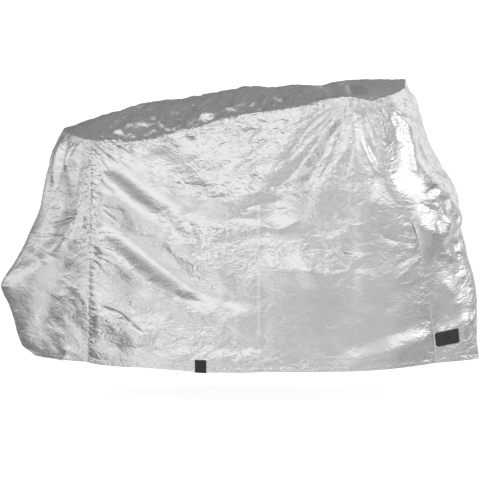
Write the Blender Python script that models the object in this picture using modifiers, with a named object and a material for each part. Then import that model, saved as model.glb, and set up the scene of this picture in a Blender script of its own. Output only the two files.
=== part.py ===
"""Fitted cover for a bicycle, in the shape in which it hangs over one with its bar turned a little.

Two side panels are sewn to one long gusset strip, which runs from the rear hem up the rear end, over the
top and down the front end to the front hem. A webbing tab is folded round the hem on each side, and a plain
patch is sewn on the strip at the lower front corner. The bicycle is left out, so the cover is hollow and
open below.

Axes: +X to the handlebar end, +Y to the far side, +Z up. Heights in the tables are above the ground that
the bicycle stands on. The origin is the point under the top that the cover hangs from.
"""

import math
from collections import namedtuple

import bmesh
import bpy
import numpy as np
from mathutils import Vector
from mathutils.bvhtree import BVHTree

# Driving dimensions, in metres
MOUNT_HEIGHT = 1.19
CLOTH = 0.002
SEAM_GAP = 0.0004
TAB_WIDTH = 0.044
TAB_LEG = 0.053
TAB_THICKNESS = 0.0015
TAB_X = -0.146
PATCH_WIDTH = 0.092
PATCH_HEIGHT = 0.054
PATCH_CLIP = 0.010
PATCH_THICKNESS = 0.001
PATCH_CENTRE = (0.803, 0.247)
PATCH_TILT = math.radians(8.5)

# Cells of the sheets: up each seam, along the top, and across the strip
SEAM_CELLS = 24
TOP_CELLS = 36
STRIP_CELLS = 12

# A fold reaches its full height over the first quarter of its length, and loses it over the last
END_RUN = 4.0
END_START = 0.2
# A point inside the cover, by which its outer side is told
MIDDLE = np.array((0.0, 0.0, 0.55))
# A panel's corner is cut back from two seams at once
CORNER_SET_BACK = 1.6
# What is sewn on stands this far off the cloth, so that its flat facets clear the cloth's
TAB_CLEARANCE = 0.0006
PATCH_CLEARANCE = 0.0010
TAB_COLUMNS = 4
TAB_LEG_SHARES = (1.0, 0.75, 0.5, 0.25, 0.02)
TAB_TURN_STEPS = 6
PATCH_COLUMNS = 10

# One section of the strip: its near edge, its ridge and its far edge, and how round it is between them
# (1 is a sharp ridge, 2 a parabola).
Section = namedtuple("Section", "near ridge far round")

REAR_END = (
    Section((-0.585, -0.150, 0.155), (-0.800, 0.00, 0.155), (-0.585, 0.150, 0.152), 1.5),
    Section((-0.582, -0.160, 0.205), (-0.852, 0.00, 0.200), (-0.582, 0.162, 0.205), 1.4),
    Section((-0.579, -0.176, 0.270), (-0.875, 0.00, 0.270), (-0.580, 0.180, 0.270), 1.3),
    Section((-0.576, -0.198, 0.360), (-0.900, 0.00, 0.350), (-0.578, 0.200, 0.360), 1.2),
    Section((-0.573, -0.210, 0.450), (-0.928, 0.00, 0.428), (-0.576, 0.212, 0.450), 1.1),
    Section((-0.571, -0.218, 0.550), (-0.872, 0.00, 0.530), (-0.574, 0.222, 0.545), 1.2),
    Section((-0.569, -0.220, 0.650), (-0.820, 0.00, 0.630), (-0.572, 0.226, 0.645), 1.4),
    Section((-0.567, -0.219, 0.760), (-0.773, 0.00, 0.750), (-0.570, 0.224, 0.755), 1.6),
    Section((-0.564, -0.210, 0.880), (-0.747, 0.01, 0.880), (-0.566, 0.214, 0.880), 1.8),
    Section((-0.562, -0.198, 0.970), (-0.721, 0.01, 0.975), (-0.562, 0.202, 0.972), 1.8),
    Section((-0.560, -0.190, 1.020), (-0.689, 0.01, 1.042), (-0.560, 0.194, 1.024), 1.7),
)
TOP = (
    REAR_END[-1],
    Section((-0.470, -0.198, 1.018), (-0.570, 0.00, 1.082), (-0.475, 0.200, 1.026), 1.5),
    Section((-0.380, -0.200, 1.026), (-0.425, 0.00, 1.132), (-0.385, 0.206, 1.036), 1.4),
    Section((-0.300, -0.202, 1.042), (-0.310, 0.00, 1.150), (-0.300, 0.210, 1.052), 1.4),
    Section((-0.225, -0.210, 1.062), (-0.225, 0.00, 1.161), (-0.220, 0.216, 1.068), 1.4),
    Section((-0.150, -0.220, 1.082), (-0.150, 0.00, 1.172), (-0.145, 0.226, 1.086), 1.5),
    Section((-0.070, -0.232, 1.110), (-0.065, 0.00, 1.188), (-0.060, 0.238, 1.108), 1.6),
    Section((0.025, -0.250, 1.134), (0.025, 0.00, 1.201), (0.035, 0.252, 1.132), 1.8),
    Section((0.190, -0.270, 1.158), (0.190, 0.00, 1.209), (0.200, 0.270, 1.160), 2.0),
    Section((0.295, -0.285, 1.180), (0.310, 0.00, 1.209), (0.325, 0.285, 1.180), 2.2),
    Section((0.370, -0.298, 1.202), (0.385, 0.00, 1.203), (0.405, 0.300, 1.203), 2.2),
    Section((0.415, -0.305, 1.208), (0.440, 0.02, 1.193), (0.465, 0.308, 1.206), 2.0),
    Section((0.452, -0.305, 1.203), (0.515, 0.05, 1.200), (0.545, 0.312, 1.206), 1.8),
    Section((0.508, -0.300, 1.190), (0.640, 0.10, 1.203), (0.646, 0.310, 1.208), 1.6),
)
FRONT_END = (
    Section((0.758, -0.115, 0.149), (0.928, 0.00, 0.150), (0.760, 0.120, 0.150), 1.4),
    Section((0.752, -0.130, 0.222), (0.925, 0.00, 0.222), (0.756, 0.134, 0.222), 1.4),
    Section((0.734, -0.165, 0.364), (0.923, 0.00, 0.360), (0.744, 0.168, 0.362), 1.3),
    Section((0.714, -0.190, 0.485), (0.908, 0.00, 0.475), (0.735, 0.194, 0.482), 1.3),
    Section((0.694, -0.210, 0.604), (0.876, 0.00, 0.580), (0.728, 0.214, 0.600), 1.5),
    Section((0.668, -0.232, 0.692), (0.858, 0.00, 0.650), (0.720, 0.234, 0.690), 1.8),
    Section((0.630, -0.260, 0.785), (0.851, 0.03, 0.730), (0.712, 0.258, 0.785), 2.0),
    Section((0.592, -0.280, 0.850), (0.836, 0.06, 0.797), (0.702, 0.276, 0.850), 2.1),
    Section((0.566, -0.290, 0.925), (0.785, 0.10, 0.880), (0.690, 0.290, 0.925), 2.1),
    Section((0.560, -0.295, 1.001), (0.734, 0.13, 0.970), (0.676, 0.296, 1.001), 2.0),
    Section((0.551, -0.300, 1.074), (0.702, 0.15, 1.065), (0.665, 0.301, 1.075), 1.8),
    Section((0.532, -0.300, 1.136), (0.682, 0.15, 1.140), (0.657, 0.305, 1.142), 1.7),
    TOP[-1],
)

# The hem of a side panel, from the rear seam to the front seam
Hem = namedtuple("Hem", "x out height")
HEM = (
    Hem(-0.585, 0.150, 0.155),
    Hem(-0.475, 0.215, 0.150),
    Hem(-0.400, 0.250, 0.152),
    Hem(-0.240, 0.275, 0.146),
    Hem(-0.125, 0.285, 0.139),
    Hem(0.000, 0.290, 0.139),
    Hem(0.120, 0.290, 0.143),
    Hem(0.275, 0.285, 0.141),
    Hem(0.425, 0.275, 0.143),
    Hem(0.565, 0.245, 0.146),
    Hem(0.695, 0.165, 0.148),
    Hem(0.758, 0.115, 0.149),
)

# Soft folds of a side panel: from (x, height) to (x, height), how wide and how far out (minus is a trough)
Fold = namedtuple("Fold", "x0 z0 x1 z1 width out")
NEAR_FOLDS = (
    Fold(-0.60, 0.92, 0.00, 0.48, 0.062, 0.024),
    Fold(-0.60, 0.79, -0.08, 0.40, 0.062, -0.024),
    Fold(-0.60, 0.65, -0.26, 0.41, 0.060, 0.020),
    Fold(-0.60, 0.51, -0.30, 0.31, 0.058, -0.018),
    Fold(-0.60, 0.41, -0.32, 0.25, 0.055, 0.014),
    Fold(0.40, 1.22, 0.10, 0.72, 0.065, -0.020),
    Fold(0.42, 1.22, 0.26, 0.72, 0.060, 0.018),
    Fold(0.44, 1.16, 0.62, 0.80, 0.058, -0.018),
    Fold(0.49, 0.88, 0.49, 0.34, 0.055, 0.014),
    Fold(0.74, 0.30, 0.38, 0.22, 0.065, 0.014),
    Fold(0.74, 0.50, 0.28, 0.35, 0.065, -0.016),
    Fold(0.08, 0.56, 0.32, 0.53, 0.058, 0.016),
    Fold(-0.35, 0.98, -0.12, 0.82, 0.065, 0.012),
)
FAR_FOLDS = (
    Fold(-0.60, 0.86, 0.06, 0.50, 0.065, 0.022),
    Fold(-0.60, 0.68, -0.06, 0.36, 0.065, -0.020),
    Fold(-0.60, 0.50, -0.24, 0.26, 0.060, 0.016),
    Fold(0.50, 1.22, 0.16, 0.66, 0.065, -0.020),
    Fold(0.52, 1.22, 0.36, 0.70, 0.060, 0.018),
    Fold(0.58, 1.10, 0.70, 0.66, 0.058, -0.016),
    Fold(-0.10, 1.05, -0.20, 0.58, 0.065, 0.014),
    Fold(0.30, 0.60, 0.30, 0.14, 0.075, -0.014),
)

# Soft folds of a stretch of the strip: from (share of the way along, place across) to the same, how wide
# and how far out. The rear and front ends run from hem to top, and the top from rear to front. The place
# across is -1 at the near edge and 1 at the far one.
StripFold = namedtuple("StripFold", "up0 across0 up1 across1 width out")
REAR_FOLDS = (
    StripFold(0.96, -0.25, 0.66, -0.20, 0.030, 0.008),
    StripFold(0.85, -0.60, 0.50, -0.50, 0.045, -0.010),
    StripFold(0.66, -0.85, 0.34, -0.30, 0.045, 0.012),
    StripFold(0.46, -0.80, 0.10, -0.45, 0.045, -0.012),
    StripFold(0.90, 0.45, 0.40, 0.60, 0.050, -0.012),
    StripFold(0.55, 0.85, 0.20, 0.35, 0.050, 0.012),
)
TOP_FOLDS = (
    StripFold(0.80, -0.80, 0.74, 0.90, 0.040, -0.014),
    StripFold(0.10, -0.20, 0.42, -0.55, 0.040, -0.008),
    StripFold(0.45, 0.60, 0.66, 0.20, 0.045, -0.008),
)
FRONT_FOLDS = (
    StripFold(0.98, -0.70, 0.62, -0.66, 0.040, 0.012),
    StripFold(0.62, -0.66, 0.46, -0.10, 0.040, 0.012),
    StripFold(0.88, -0.30, 0.64, -0.20, 0.045, -0.012),
    StripFold(0.50, -0.85, 0.36, -0.30, 0.045, -0.012),
    StripFold(0.80, 0.60, 0.50, 0.20, 0.050, 0.012),
    StripFold(0.30, -0.80, 0.08, -0.35, 0.040, 0.006),
)


def monotone(at, rows, wanted):
    """Rows of values at rising parameters, read at the wanted ones by a cubic that never overshoots."""
    step = np.diff(at)[:, None]
    slope = np.diff(rows, axis=0) / step
    tangent = np.zeros_like(rows)
    product = slope[:-1] * slope[1:]
    mean = 2.0 * product / np.where(product > 0, slope[:-1] + slope[1:], 1.0)
    tangent[1:-1] = np.where(product > 0, mean, 0.0)
    tangent[0] = slope[0]
    tangent[-1] = slope[-1]
    cell = np.clip(np.searchsorted(at, wanted, side="right") - 1, 0, len(at) - 2)
    width = step[cell]
    t = (wanted - at[cell])[:, None] / width
    start = (2 * t**3 - 3 * t**2 + 1) * rows[cell] + (t**3 - 2 * t**2 + t) * width * tangent[cell]
    end = (3 * t**2 - 2 * t**3) * rows[cell + 1] + (t**3 - t**2) * width * tangent[cell + 1]
    return start + end


def resample(rows, cells):
    """Rows spread evenly along their own length, as cells + 1 rows."""
    rows = np.array(rows, float)
    length = np.concatenate(([0.0], np.cumsum(np.linalg.norm(np.diff(rows[:, :9], axis=0), axis=1))))
    return monotone(length, rows, np.linspace(0.0, length[-1], cells + 1))


def strip_part(sections, cells):
    """A stretch of the strip: an array of points by station and place across."""
    rows = resample([s.near + s.ridge + s.far + (s.round,) for s in sections], cells)
    across = np.linspace(-1.0, 1.0, STRIP_CELLS + 1)
    points = np.zeros((len(rows), len(across), 3))
    for station, row in enumerate(rows):
        near, ridge, far, roundness = row[0:3], row[3:6], row[6:9], row[9]
        for place, w in enumerate(across):
            edge = near if w < 0 else far
            share = np.array((abs(w) ** roundness, abs(w), abs(w) ** roundness))
            points[station, place] = ridge + (edge - ridge) * share
    return points


def rise(x):
    """0 to 1 with a level start and end."""
    x = np.clip(x, 0.0, 1.0)
    return x * x * (3.0 - 2.0 * x)


def fold_height(along, up, start, end, width, out):
    """How far a soft fold lifts the points at (along, up), fading to its ends and its sides."""
    start, run = np.array(start), np.subtract(end, start)
    offset = np.stack((along - start[0], up - start[1]), axis=-1)
    share = np.clip(offset @ run / (run @ run), 0.0, 1.0)
    away = np.linalg.norm(offset - share[..., None] * run, axis=-1)
    ends = rise(END_RUN * share + END_START) * rise(END_RUN * (1.0 - share) + END_START)
    return out * np.exp(-((away / width) ** 2)) * ends


def side_panel(side, rear, top, front, folds):
    """A side panel between the strip's two seams, the top seam and the hem: points by place along and up.

    side is -1 for the near panel and +1 for the far one."""
    edge = 0 if side < 0 else -1
    left, crown, right = rear[:, edge], top[:, edge], front[:, edge]
    rows = np.array([(hem.x, side * hem.out, hem.height) for hem in HEM])
    length = np.concatenate(([0.0], np.cumsum(np.linalg.norm(np.diff(rows, axis=0), axis=1))))
    hem = monotone(length, rows, np.linspace(0.0, length[-1], TOP_CELLS + 1))
    hem[0], hem[-1] = left[0], right[0]
    s = np.linspace(0.0, 1.0, TOP_CELLS + 1)[:, None, None]
    t = np.linspace(0.0, 1.0, SEAM_CELLS + 1)[None, :, None]
    points = (1 - s) * left[None] + s * right[None] + (1 - t) * hem[:, None] + t * crown[:, None]
    points -= (1 - t) * ((1 - s) * left[0] + s * right[0]) + t * ((1 - s) * left[-1] + s * right[-1])
    lift = np.zeros(points.shape[:2])
    for fold in folds:
        start, end = (fold.x0, fold.z0), (fold.x1, fold.z1)
        lift += fold_height(points[..., 0], points[..., 2], start, end, fold.width, fold.out)
    cells_in = np.minimum(np.arange(TOP_CELLS + 1), TOP_CELLS - np.arange(TOP_CELLS + 1))[:, None]
    cells_down = (SEAM_CELLS - np.arange(SEAM_CELLS + 1))[None, :]
    points[..., 1] += side * lift * rise(np.minimum(cells_in, cells_down) / 2.0)
    return points


def normals(points):
    """Unit normals of a grid of points, by its own differences."""
    across = np.cross(np.gradient(points, axis=0), np.gradient(points, axis=1))
    return across / np.linalg.norm(across, axis=-1)[..., None]


def fold_strip(points, folds):
    """Lifts a stretch of the strip by its folds, square to its surface and outwards."""
    length = np.linalg.norm(np.diff(points[:, STRIP_CELLS // 2], axis=0), axis=1).sum()
    half = np.linalg.norm(points[:, 0] - points[:, STRIP_CELLS // 2], axis=1).mean()
    up = np.linspace(0.0, 1.0, len(points))[:, None] * np.ones(STRIP_CELLS + 1)
    across = np.linspace(-1.0, 1.0, STRIP_CELLS + 1)[None, :] * np.ones((len(points), 1))
    lift = np.zeros(up.shape)
    for fold in folds:
        start = (fold.up0 * length, fold.across0 * half)
        end = (fold.up1 * length, fold.across1 * half)
        lift += fold_height(up * length, across * half, start, end, fold.width, fold.out)
    lift *= rise((1.0 - np.abs(across)) * STRIP_CELLS / 4.0)
    outward = normals(points)
    outward *= np.sign(((points - MIDDLE) * outward).sum(axis=-1))[..., None]
    return points + outward * lift[..., None]


def seam_rows(panel):
    """A side panel's edge along the strip, hem to hem over the top, and the points just inside it."""
    last_x, last_z = TOP_CELLS, SEAM_CELLS
    edge = [(0, j) for j in range(last_z)] + [(i, last_z) for i in range(last_x + 1)]
    edge += [(last_x, j) for j in range(last_z - 1, -1, -1)]
    inner = [(min(max(i, 1), last_x - 1), min(j, last_z - 1)) for i, j in edge]
    return edge, np.array([panel[i, j] for i, j in inner])


def set_back(edge, inner, other_inner):
    """How far each point of a sheet's edge moves in along it, so that it clears the sheet sewn to it.

    The more the two sheets turn at the seam, the further back each is cut."""
    along = np.gradient(edge, axis=0)
    along /= np.linalg.norm(along, axis=1)[:, None]
    own, other = inner - edge, other_inner - edge
    for way in (own, other):
        way -= (way * along).sum(axis=1)[:, None] * along
        way /= np.linalg.norm(way, axis=1)[:, None]
    half_turn = (math.pi - np.arccos(np.clip((own * other).sum(axis=1), -1.0, 1.0))) / 2.0
    back = (SEAM_GAP / 2.0 + CLOTH / 2.0 * np.sin(half_turn)) / np.cos(half_turn)
    return own * back[:, None]


def cut_seam(panel, strip, place):
    """Parts a side panel and one edge of the strip along their shared seam."""
    where, inner = seam_rows(panel)
    edge = strip[:, place].copy()
    strip_inner = strip[:, place + 1 if place == 0 else place - 1]
    strip[:, place] += set_back(edge, strip_inner, inner)
    panel_back = set_back(edge, inner, strip_inner)
    panel_back[[SEAM_CELLS, SEAM_CELLS + TOP_CELLS]] *= CORNER_SET_BACK
    for (i, j), back in zip(where, panel_back):
        panel[i, j] += back


def grid_faces(points, left_out=()):
    """The triangles of a grid of points, numbered row by row, each cell cut along its shorter diagonal.

    A cell at one of the points left out keeps only its other three corners."""
    columns, rows = points.shape[:2]
    faces = []
    for i in range(columns - 1):
        for j in range(rows - 1):
            cell = [i * rows + j, (i + 1) * rows + j, (i + 1) * rows + j + 1, i * rows + j + 1]
            rising = np.linalg.norm(points[i + 1, j + 1] - points[i, j])
            falling = np.linalg.norm(points[i + 1, j] - points[i, j + 1])
            if set(cell) & set(left_out):
                faces.append([corner for corner in cell if corner not in left_out])
            elif rising < falling:
                faces += [(cell[0], cell[1], cell[2]), (cell[0], cell[2], cell[3])]
            else:
                faces += [(cell[0], cell[1], cell[3]), (cell[1], cell[2], cell[3])]
    return faces


def material(name, colour, roughness, metallic):
    made = bpy.data.materials.new(name)
    made.use_nodes = True
    shader = made.node_tree.nodes["Principled BSDF"]
    shader.inputs["Base Color"].default_value = (*colour, 1.0)
    shader.inputs["Roughness"].default_value = roughness
    shader.inputs["Metallic"].default_value = metallic
    return made


def add_sheet(name, points, thickness, finish, collection, frame, clipped=()):
    """A sheet of one thickness on a grid of points, as one object."""
    mesh = bpy.data.meshes.new(name)
    mesh.from_pydata(points.reshape(-1, 3).tolist(), [], grid_faces(points, clipped))
    tidy = bmesh.new()
    tidy.from_mesh(mesh)
    loose = [vertex for vertex in tidy.verts if not vertex.link_faces]
    bmesh.ops.delete(tidy, geom=loose, context="VERTS")
    tidy.to_mesh(mesh)
    tidy.free()
    mesh.materials.append(finish)
    mesh.shade_smooth()
    sheet = bpy.data.objects.new(name, mesh)
    shell = sheet.modifiers.new("Thickness", "SOLIDIFY")
    shell.thickness = thickness
    shell.offset = 0.0
    shell.use_even_offset = True
    shell.use_quality_normals = True
    collection.objects.link(sheet)
    sheet.parent = frame
    return sheet


def surface(points):
    """A sheet's middle surface, to find the places of what is sewn to it."""
    return BVHTree.FromPolygons(points.reshape(-1, 3).tolist(), grid_faces(points))


def on_surface(tree, x, height, side):
    """The point of a surface at (x, height) seen from one side, and its normal towards that side."""
    place, normal, _, _ = tree.ray_cast(Vector((x, side * 2.0, height)), Vector((0.0, -side, 0.0)))
    if normal.y * side < 0:
        normal = -normal
    return np.array(place), np.array(normal)


def strap_tab(panel, side):
    """Webbing folded round the hem: points by place across, and from the outer leg under to the inner."""
    tree = surface(panel)
    radius = CLOTH / 2.0 + TAB_CLEARANCE + TAB_THICKNESS / 2.0
    columns = []
    for x in np.linspace(TAB_X - TAB_WIDTH / 2.0, TAB_X + TAB_WIDTH / 2.0, TAB_COLUMNS):
        bottom = panel[:, 0]
        hem = np.interp(x, bottom[:, 0], bottom[:, 2])
        leg = [on_surface(tree, x, hem + share * TAB_LEG, side) for share in TAB_LEG_SHARES]
        outer = [place + radius * normal for place, normal in leg]
        inner = [place - radius * normal for place, normal in leg]
        place, normal = leg[-1]
        turn = [
            place + radius * (math.cos(angle) * normal - math.sin(angle) * np.array((0.0, 0.0, 1.0)))
            for angle in np.linspace(0.0, math.pi, TAB_TURN_STEPS + 1)[1:-1]
        ]
        columns.append(outer + turn + inner[::-1])
    return np.array(columns)


def label_patch(strip):
    """A plain patch on the strip, tilted, three of its corners clipped: its points and the clipped ones."""
    tree = surface(strip)
    stand_off = CLOTH / 2.0 + PATCH_CLEARANCE + PATCH_THICKNESS / 2.0
    wide = np.linspace(-PATCH_WIDTH / 2.0 + PATCH_CLIP, PATCH_WIDTH / 2.0 - PATCH_CLIP, PATCH_COLUMNS)
    wide = np.concatenate(([-PATCH_WIDTH / 2.0], wide, [PATCH_WIDTH / 2.0]))
    high = np.array((-0.5, -0.5 + PATCH_CLIP / PATCH_HEIGHT, 0.0, 0.5 - PATCH_CLIP / PATCH_HEIGHT, 0.5))
    high *= PATCH_HEIGHT
    points = np.zeros((len(wide), len(high), 3))
    for i, across in enumerate(wide):
        for j, up in enumerate(high):
            x = PATCH_CENTRE[0] + across * math.cos(PATCH_TILT) - up * math.sin(PATCH_TILT)
            height = PATCH_CENTRE[1] + across * math.sin(PATCH_TILT) + up * math.cos(PATCH_TILT)
            place, normal = on_surface(tree, x, height, -1)
            points[i, j] = place + stand_off * normal
    rows = len(high)
    clipped = (0, rows - 1, len(wide) * rows - 1)
    return points, clipped


def main():
    for thing in list(bpy.data.objects):
        bpy.data.objects.remove(thing)
    cover = bpy.data.collections.new("bicycle_cover")
    bpy.context.scene.collection.children.link(cover)
    frame = bpy.data.objects.new("cover_frame", None)
    frame.location.z = -MOUNT_HEIGHT
    cover.objects.link(frame)

    film = material("silver_coated_cloth", (0.72, 0.73, 0.75), 0.38, 0.85)
    webbing = material("black_webbing", (0.02, 0.02, 0.022), 0.8, 0.0)
    patch_cloth = material("black_patch_cloth", (0.03, 0.03, 0.032), 0.65, 0.0)

    rear = strip_part(REAR_END, SEAM_CELLS)
    top = strip_part(TOP, TOP_CELLS)
    front = strip_part(FRONT_END, SEAM_CELLS)
    near = side_panel(-1, rear, top, front, NEAR_FOLDS)
    far = side_panel(1, rear, top, front, FAR_FOLDS)
    rear = fold_strip(rear, REAR_FOLDS)
    top = fold_strip(top, TOP_FOLDS)
    front = fold_strip(front, FRONT_FOLDS)
    strip = np.concatenate((rear[:-1], top, front[-2::-1]))
    strip[SEAM_CELLS] = (rear[-1] + top[0]) / 2.0
    strip[SEAM_CELLS + TOP_CELLS] = (front[-1] + top[-1]) / 2.0
    cut_seam(near, strip, 0)
    cut_seam(far, strip, -1)

    add_sheet("side_panel_near", near, CLOTH, film, cover, frame)
    add_sheet("side_panel_far", far, CLOTH, film, cover, frame)
    add_sheet("gusset_strip", strip, CLOTH, film, cover, frame)
    add_sheet("strap_tab_near", strap_tab(near, -1), TAB_THICKNESS, webbing, cover, frame)
    add_sheet("strap_tab_far", strap_tab(far, 1), TAB_THICKNESS, webbing, cover, frame)
    patch, clipped = label_patch(strip)
    add_sheet("label_patch", patch, PATCH_THICKNESS, patch_cloth, cover, frame, clipped)


main()
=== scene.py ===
"""Looks of a fitted bicycle cover: crumpled cloth with a silver coat on its outer face.

Two side panels are sewn to one long gusset strip. Each cloth is a thin sheet on the folds of its solid, with
creases, crumples and gathered seams of its own, a hem turned up inside and seam allowances turned in. A
webbing tab is folded round the hem on each side, and a plain patch is sewn on at the lower front corner.

The file is laid out as an add-on and is run as a script. Heights in the tables are above the ground that the
covered bicycle stands on, and the frame's origin is MOUNT_HEIGHT above it.
"""

import math
from collections import namedtuple

import bpy
import numpy as np
from bpy.props import FloatProperty, FloatVectorProperty, PointerProperty
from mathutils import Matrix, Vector
from mathutils.bvhtree import BVHTree
from mathutils.geometry import delaunay_2d_cdt


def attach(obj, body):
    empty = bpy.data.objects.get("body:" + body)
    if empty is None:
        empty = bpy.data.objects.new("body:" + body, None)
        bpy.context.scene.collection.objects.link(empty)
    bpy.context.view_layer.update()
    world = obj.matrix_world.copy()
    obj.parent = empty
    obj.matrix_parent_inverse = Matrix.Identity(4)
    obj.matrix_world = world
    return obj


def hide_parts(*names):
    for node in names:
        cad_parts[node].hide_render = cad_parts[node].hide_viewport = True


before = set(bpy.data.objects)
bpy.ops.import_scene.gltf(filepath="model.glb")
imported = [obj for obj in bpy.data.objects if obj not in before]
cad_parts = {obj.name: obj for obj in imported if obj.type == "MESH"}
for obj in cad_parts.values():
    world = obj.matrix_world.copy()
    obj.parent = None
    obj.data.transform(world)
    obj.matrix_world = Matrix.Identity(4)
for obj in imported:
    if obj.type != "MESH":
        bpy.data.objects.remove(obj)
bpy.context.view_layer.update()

bl_info = {
    "name": "Bicycle Cover",
    "version": (1, 0, 0),
    "blender": (4, 5, 0),
    "location": "3D View > Sidebar > Cover",
    "description": "Builds a fitted, silver-coated bicycle cover piece by piece",
    "category": "Add Mesh",
}

MOUNT_HEIGHT = 1.19

# Cells of the sheets: along a panel, up a seam, along the roof and across the strip
PANEL_CELLS = 312
SEAM_CELLS = 290
ROOF_CELLS = 312
STRIP_CELLS = 100
# The rows next to a hem are closer together, so that its stitch line shows
HEM_CELLS = 9
HEM_BAND = 0.026
# Points beside a seam are closer together: even shares of the way across a sheet, and what they become
EVEN_SHARES = (0.0, 0.08, 0.92, 1.0)
CLOSER_SHARES = (0.0, 0.045, 0.955, 1.0)
# How soft the ridge of the strip is, as a share of its half width
RIDGE_SOFTNESS = 0.04
# A fold reaches its full height over the first quarter of its length, and loses it over the last
END_RUN = 4.0
END_START = 0.2
# A strip's fold fades over the last third before an edge, a panel's so many metres before a seam
STRIP_FADE = 3.0
FADE_AT_SIDE = 0.050
FADE_AT_TOP = 0.080
# The creases of the strip's two ends stop at this place across, and fade over this much before it
END_CREASES_STOP = 0.25
END_CREASES_FADE = 0.35
# A crease is felt this many widths away, its crest is rounded by this share of its width, and its path is
# drawn in this many steps from place to place
CREASE_REACH = 4.0
CREST_SOFTNESS = 0.12
CREASE_STEPS = 6
# A point inside the cover, by which its outer side is told, and the way up
MIDDLE = np.array((0.0, 0.0, 0.55))
UPWARDS = np.array((0.0, 0.0, 1.0))

# One section of the strip: its near edge, its ridge and its far edge, and how round it is between them
# (1 is a sharp ridge, 2 a parabola).
Section = namedtuple("Section", "near ridge far round")

REAR_END = (
    Section((-0.585, -0.150, 0.155), (-0.800, 0.00, 0.155), (-0.585, 0.150, 0.152), 1.5),
    Section((-0.582, -0.160, 0.205), (-0.852, 0.00, 0.200), (-0.582, 0.162, 0.205), 1.4),
    Section((-0.579, -0.176, 0.270), (-0.875, 0.00, 0.270), (-0.580, 0.180, 0.270), 1.3),
    Section((-0.576, -0.198, 0.360), (-0.900, 0.00, 0.350), (-0.578, 0.200, 0.360), 1.2),
    Section((-0.573, -0.210, 0.450), (-0.928, 0.00, 0.428), (-0.576, 0.212, 0.450), 1.1),
    Section((-0.571, -0.218, 0.550), (-0.872, 0.00, 0.530), (-0.574, 0.222, 0.545), 1.2),
    Section((-0.569, -0.220, 0.650), (-0.820, 0.00, 0.630), (-0.572, 0.226, 0.645), 1.4),
    Section((-0.567, -0.219, 0.760), (-0.773, 0.00, 0.750), (-0.570, 0.224, 0.755), 1.6),
    Section((-0.564, -0.210, 0.880), (-0.747, 0.01, 0.880), (-0.566, 0.214, 0.880), 1.8),
    Section((-0.562, -0.198, 0.970), (-0.721, 0.01, 0.975), (-0.562, 0.202, 0.972), 1.8),
    Section((-0.560, -0.190, 1.020), (-0.689, 0.01, 1.042), (-0.560, 0.194, 1.024), 1.7),
)
ROOF = (
    REAR_END[-1],
    Section((-0.470, -0.198, 1.018), (-0.570, 0.00, 1.082), (-0.475, 0.200, 1.026), 1.5),
    Section((-0.380, -0.200, 1.026), (-0.425, 0.00, 1.132), (-0.385, 0.206, 1.036), 1.4),
    Section((-0.300, -0.202, 1.042), (-0.310, 0.00, 1.150), (-0.300, 0.210, 1.052), 1.4),
    Section((-0.225, -0.210, 1.062), (-0.225, 0.00, 1.161), (-0.220, 0.216, 1.068), 1.4),
    Section((-0.150, -0.220, 1.082), (-0.150, 0.00, 1.172), (-0.145, 0.226, 1.086), 1.5),
    Section((-0.070, -0.232, 1.110), (-0.065, 0.00, 1.188), (-0.060, 0.238, 1.108), 1.6),
    Section((0.025, -0.250, 1.134), (0.025, 0.00, 1.201), (0.035, 0.252, 1.132), 1.8),
    Section((0.190, -0.270, 1.158), (0.190, 0.00, 1.209), (0.200, 0.270, 1.160), 2.0),
    Section((0.295, -0.285, 1.180), (0.310, 0.00, 1.209), (0.325, 0.285, 1.180), 2.2),
    Section((0.370, -0.298, 1.202), (0.385, 0.00, 1.203), (0.405, 0.300, 1.203), 2.2),
    Section((0.415, -0.305, 1.208), (0.440, 0.02, 1.193), (0.465, 0.308, 1.206), 2.0),
    Section((0.452, -0.305, 1.203), (0.515, 0.05, 1.200), (0.545, 0.312, 1.206), 1.8),
    Section((0.508, -0.300, 1.190), (0.640, 0.10, 1.203), (0.646, 0.310, 1.208), 1.6),
)
FRONT_END = (
    Section((0.758, -0.115, 0.149), (0.928, 0.00, 0.150), (0.760, 0.120, 0.150), 1.4),
    Section((0.752, -0.130, 0.222), (0.925, 0.00, 0.222), (0.756, 0.134, 0.222), 1.4),
    Section((0.734, -0.165, 0.364), (0.923, 0.00, 0.360), (0.744, 0.168, 0.362), 1.3),
    Section((0.714, -0.190, 0.485), (0.908, 0.00, 0.475), (0.735, 0.194, 0.482), 1.3),
    Section((0.694, -0.210, 0.604), (0.876, 0.00, 0.580), (0.728, 0.214, 0.600), 1.5),
    Section((0.668, -0.232, 0.692), (0.858, 0.00, 0.650), (0.720, 0.234, 0.690), 1.8),
    Section((0.630, -0.260, 0.785), (0.851, 0.03, 0.730), (0.712, 0.258, 0.785), 2.0),
    Section((0.592, -0.280, 0.850), (0.836, 0.06, 0.797), (0.702, 0.276, 0.850), 2.1),
    Section((0.566, -0.290, 0.925), (0.785, 0.10, 0.880), (0.690, 0.290, 0.925), 2.1),
    Section((0.560, -0.295, 1.001), (0.734, 0.13, 0.970), (0.676, 0.296, 1.001), 2.0),
    Section((0.551, -0.300, 1.074), (0.702, 0.15, 1.065), (0.665, 0.301, 1.075), 1.8),
    Section((0.532, -0.300, 1.136), (0.682, 0.15, 1.140), (0.657, 0.305, 1.142), 1.7),
    ROOF[-1],
)

# The hem of a side panel, from the rear seam to the front seam
Hem = namedtuple("Hem", "x out height")
HEM = (
    Hem(-0.585, 0.150, 0.155),
    Hem(-0.475, 0.215, 0.150),
    Hem(-0.400, 0.250, 0.152),
    Hem(-0.240, 0.275, 0.146),
    Hem(-0.125, 0.285, 0.139),
    Hem(0.000, 0.290, 0.139),
    Hem(0.120, 0.290, 0.143),
    Hem(0.275, 0.285, 0.141),
    Hem(0.425, 0.275, 0.143),
    Hem(0.565, 0.245, 0.146),
    Hem(0.695, 0.165, 0.148),
    Hem(0.758, 0.115, 0.149),
)

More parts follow.
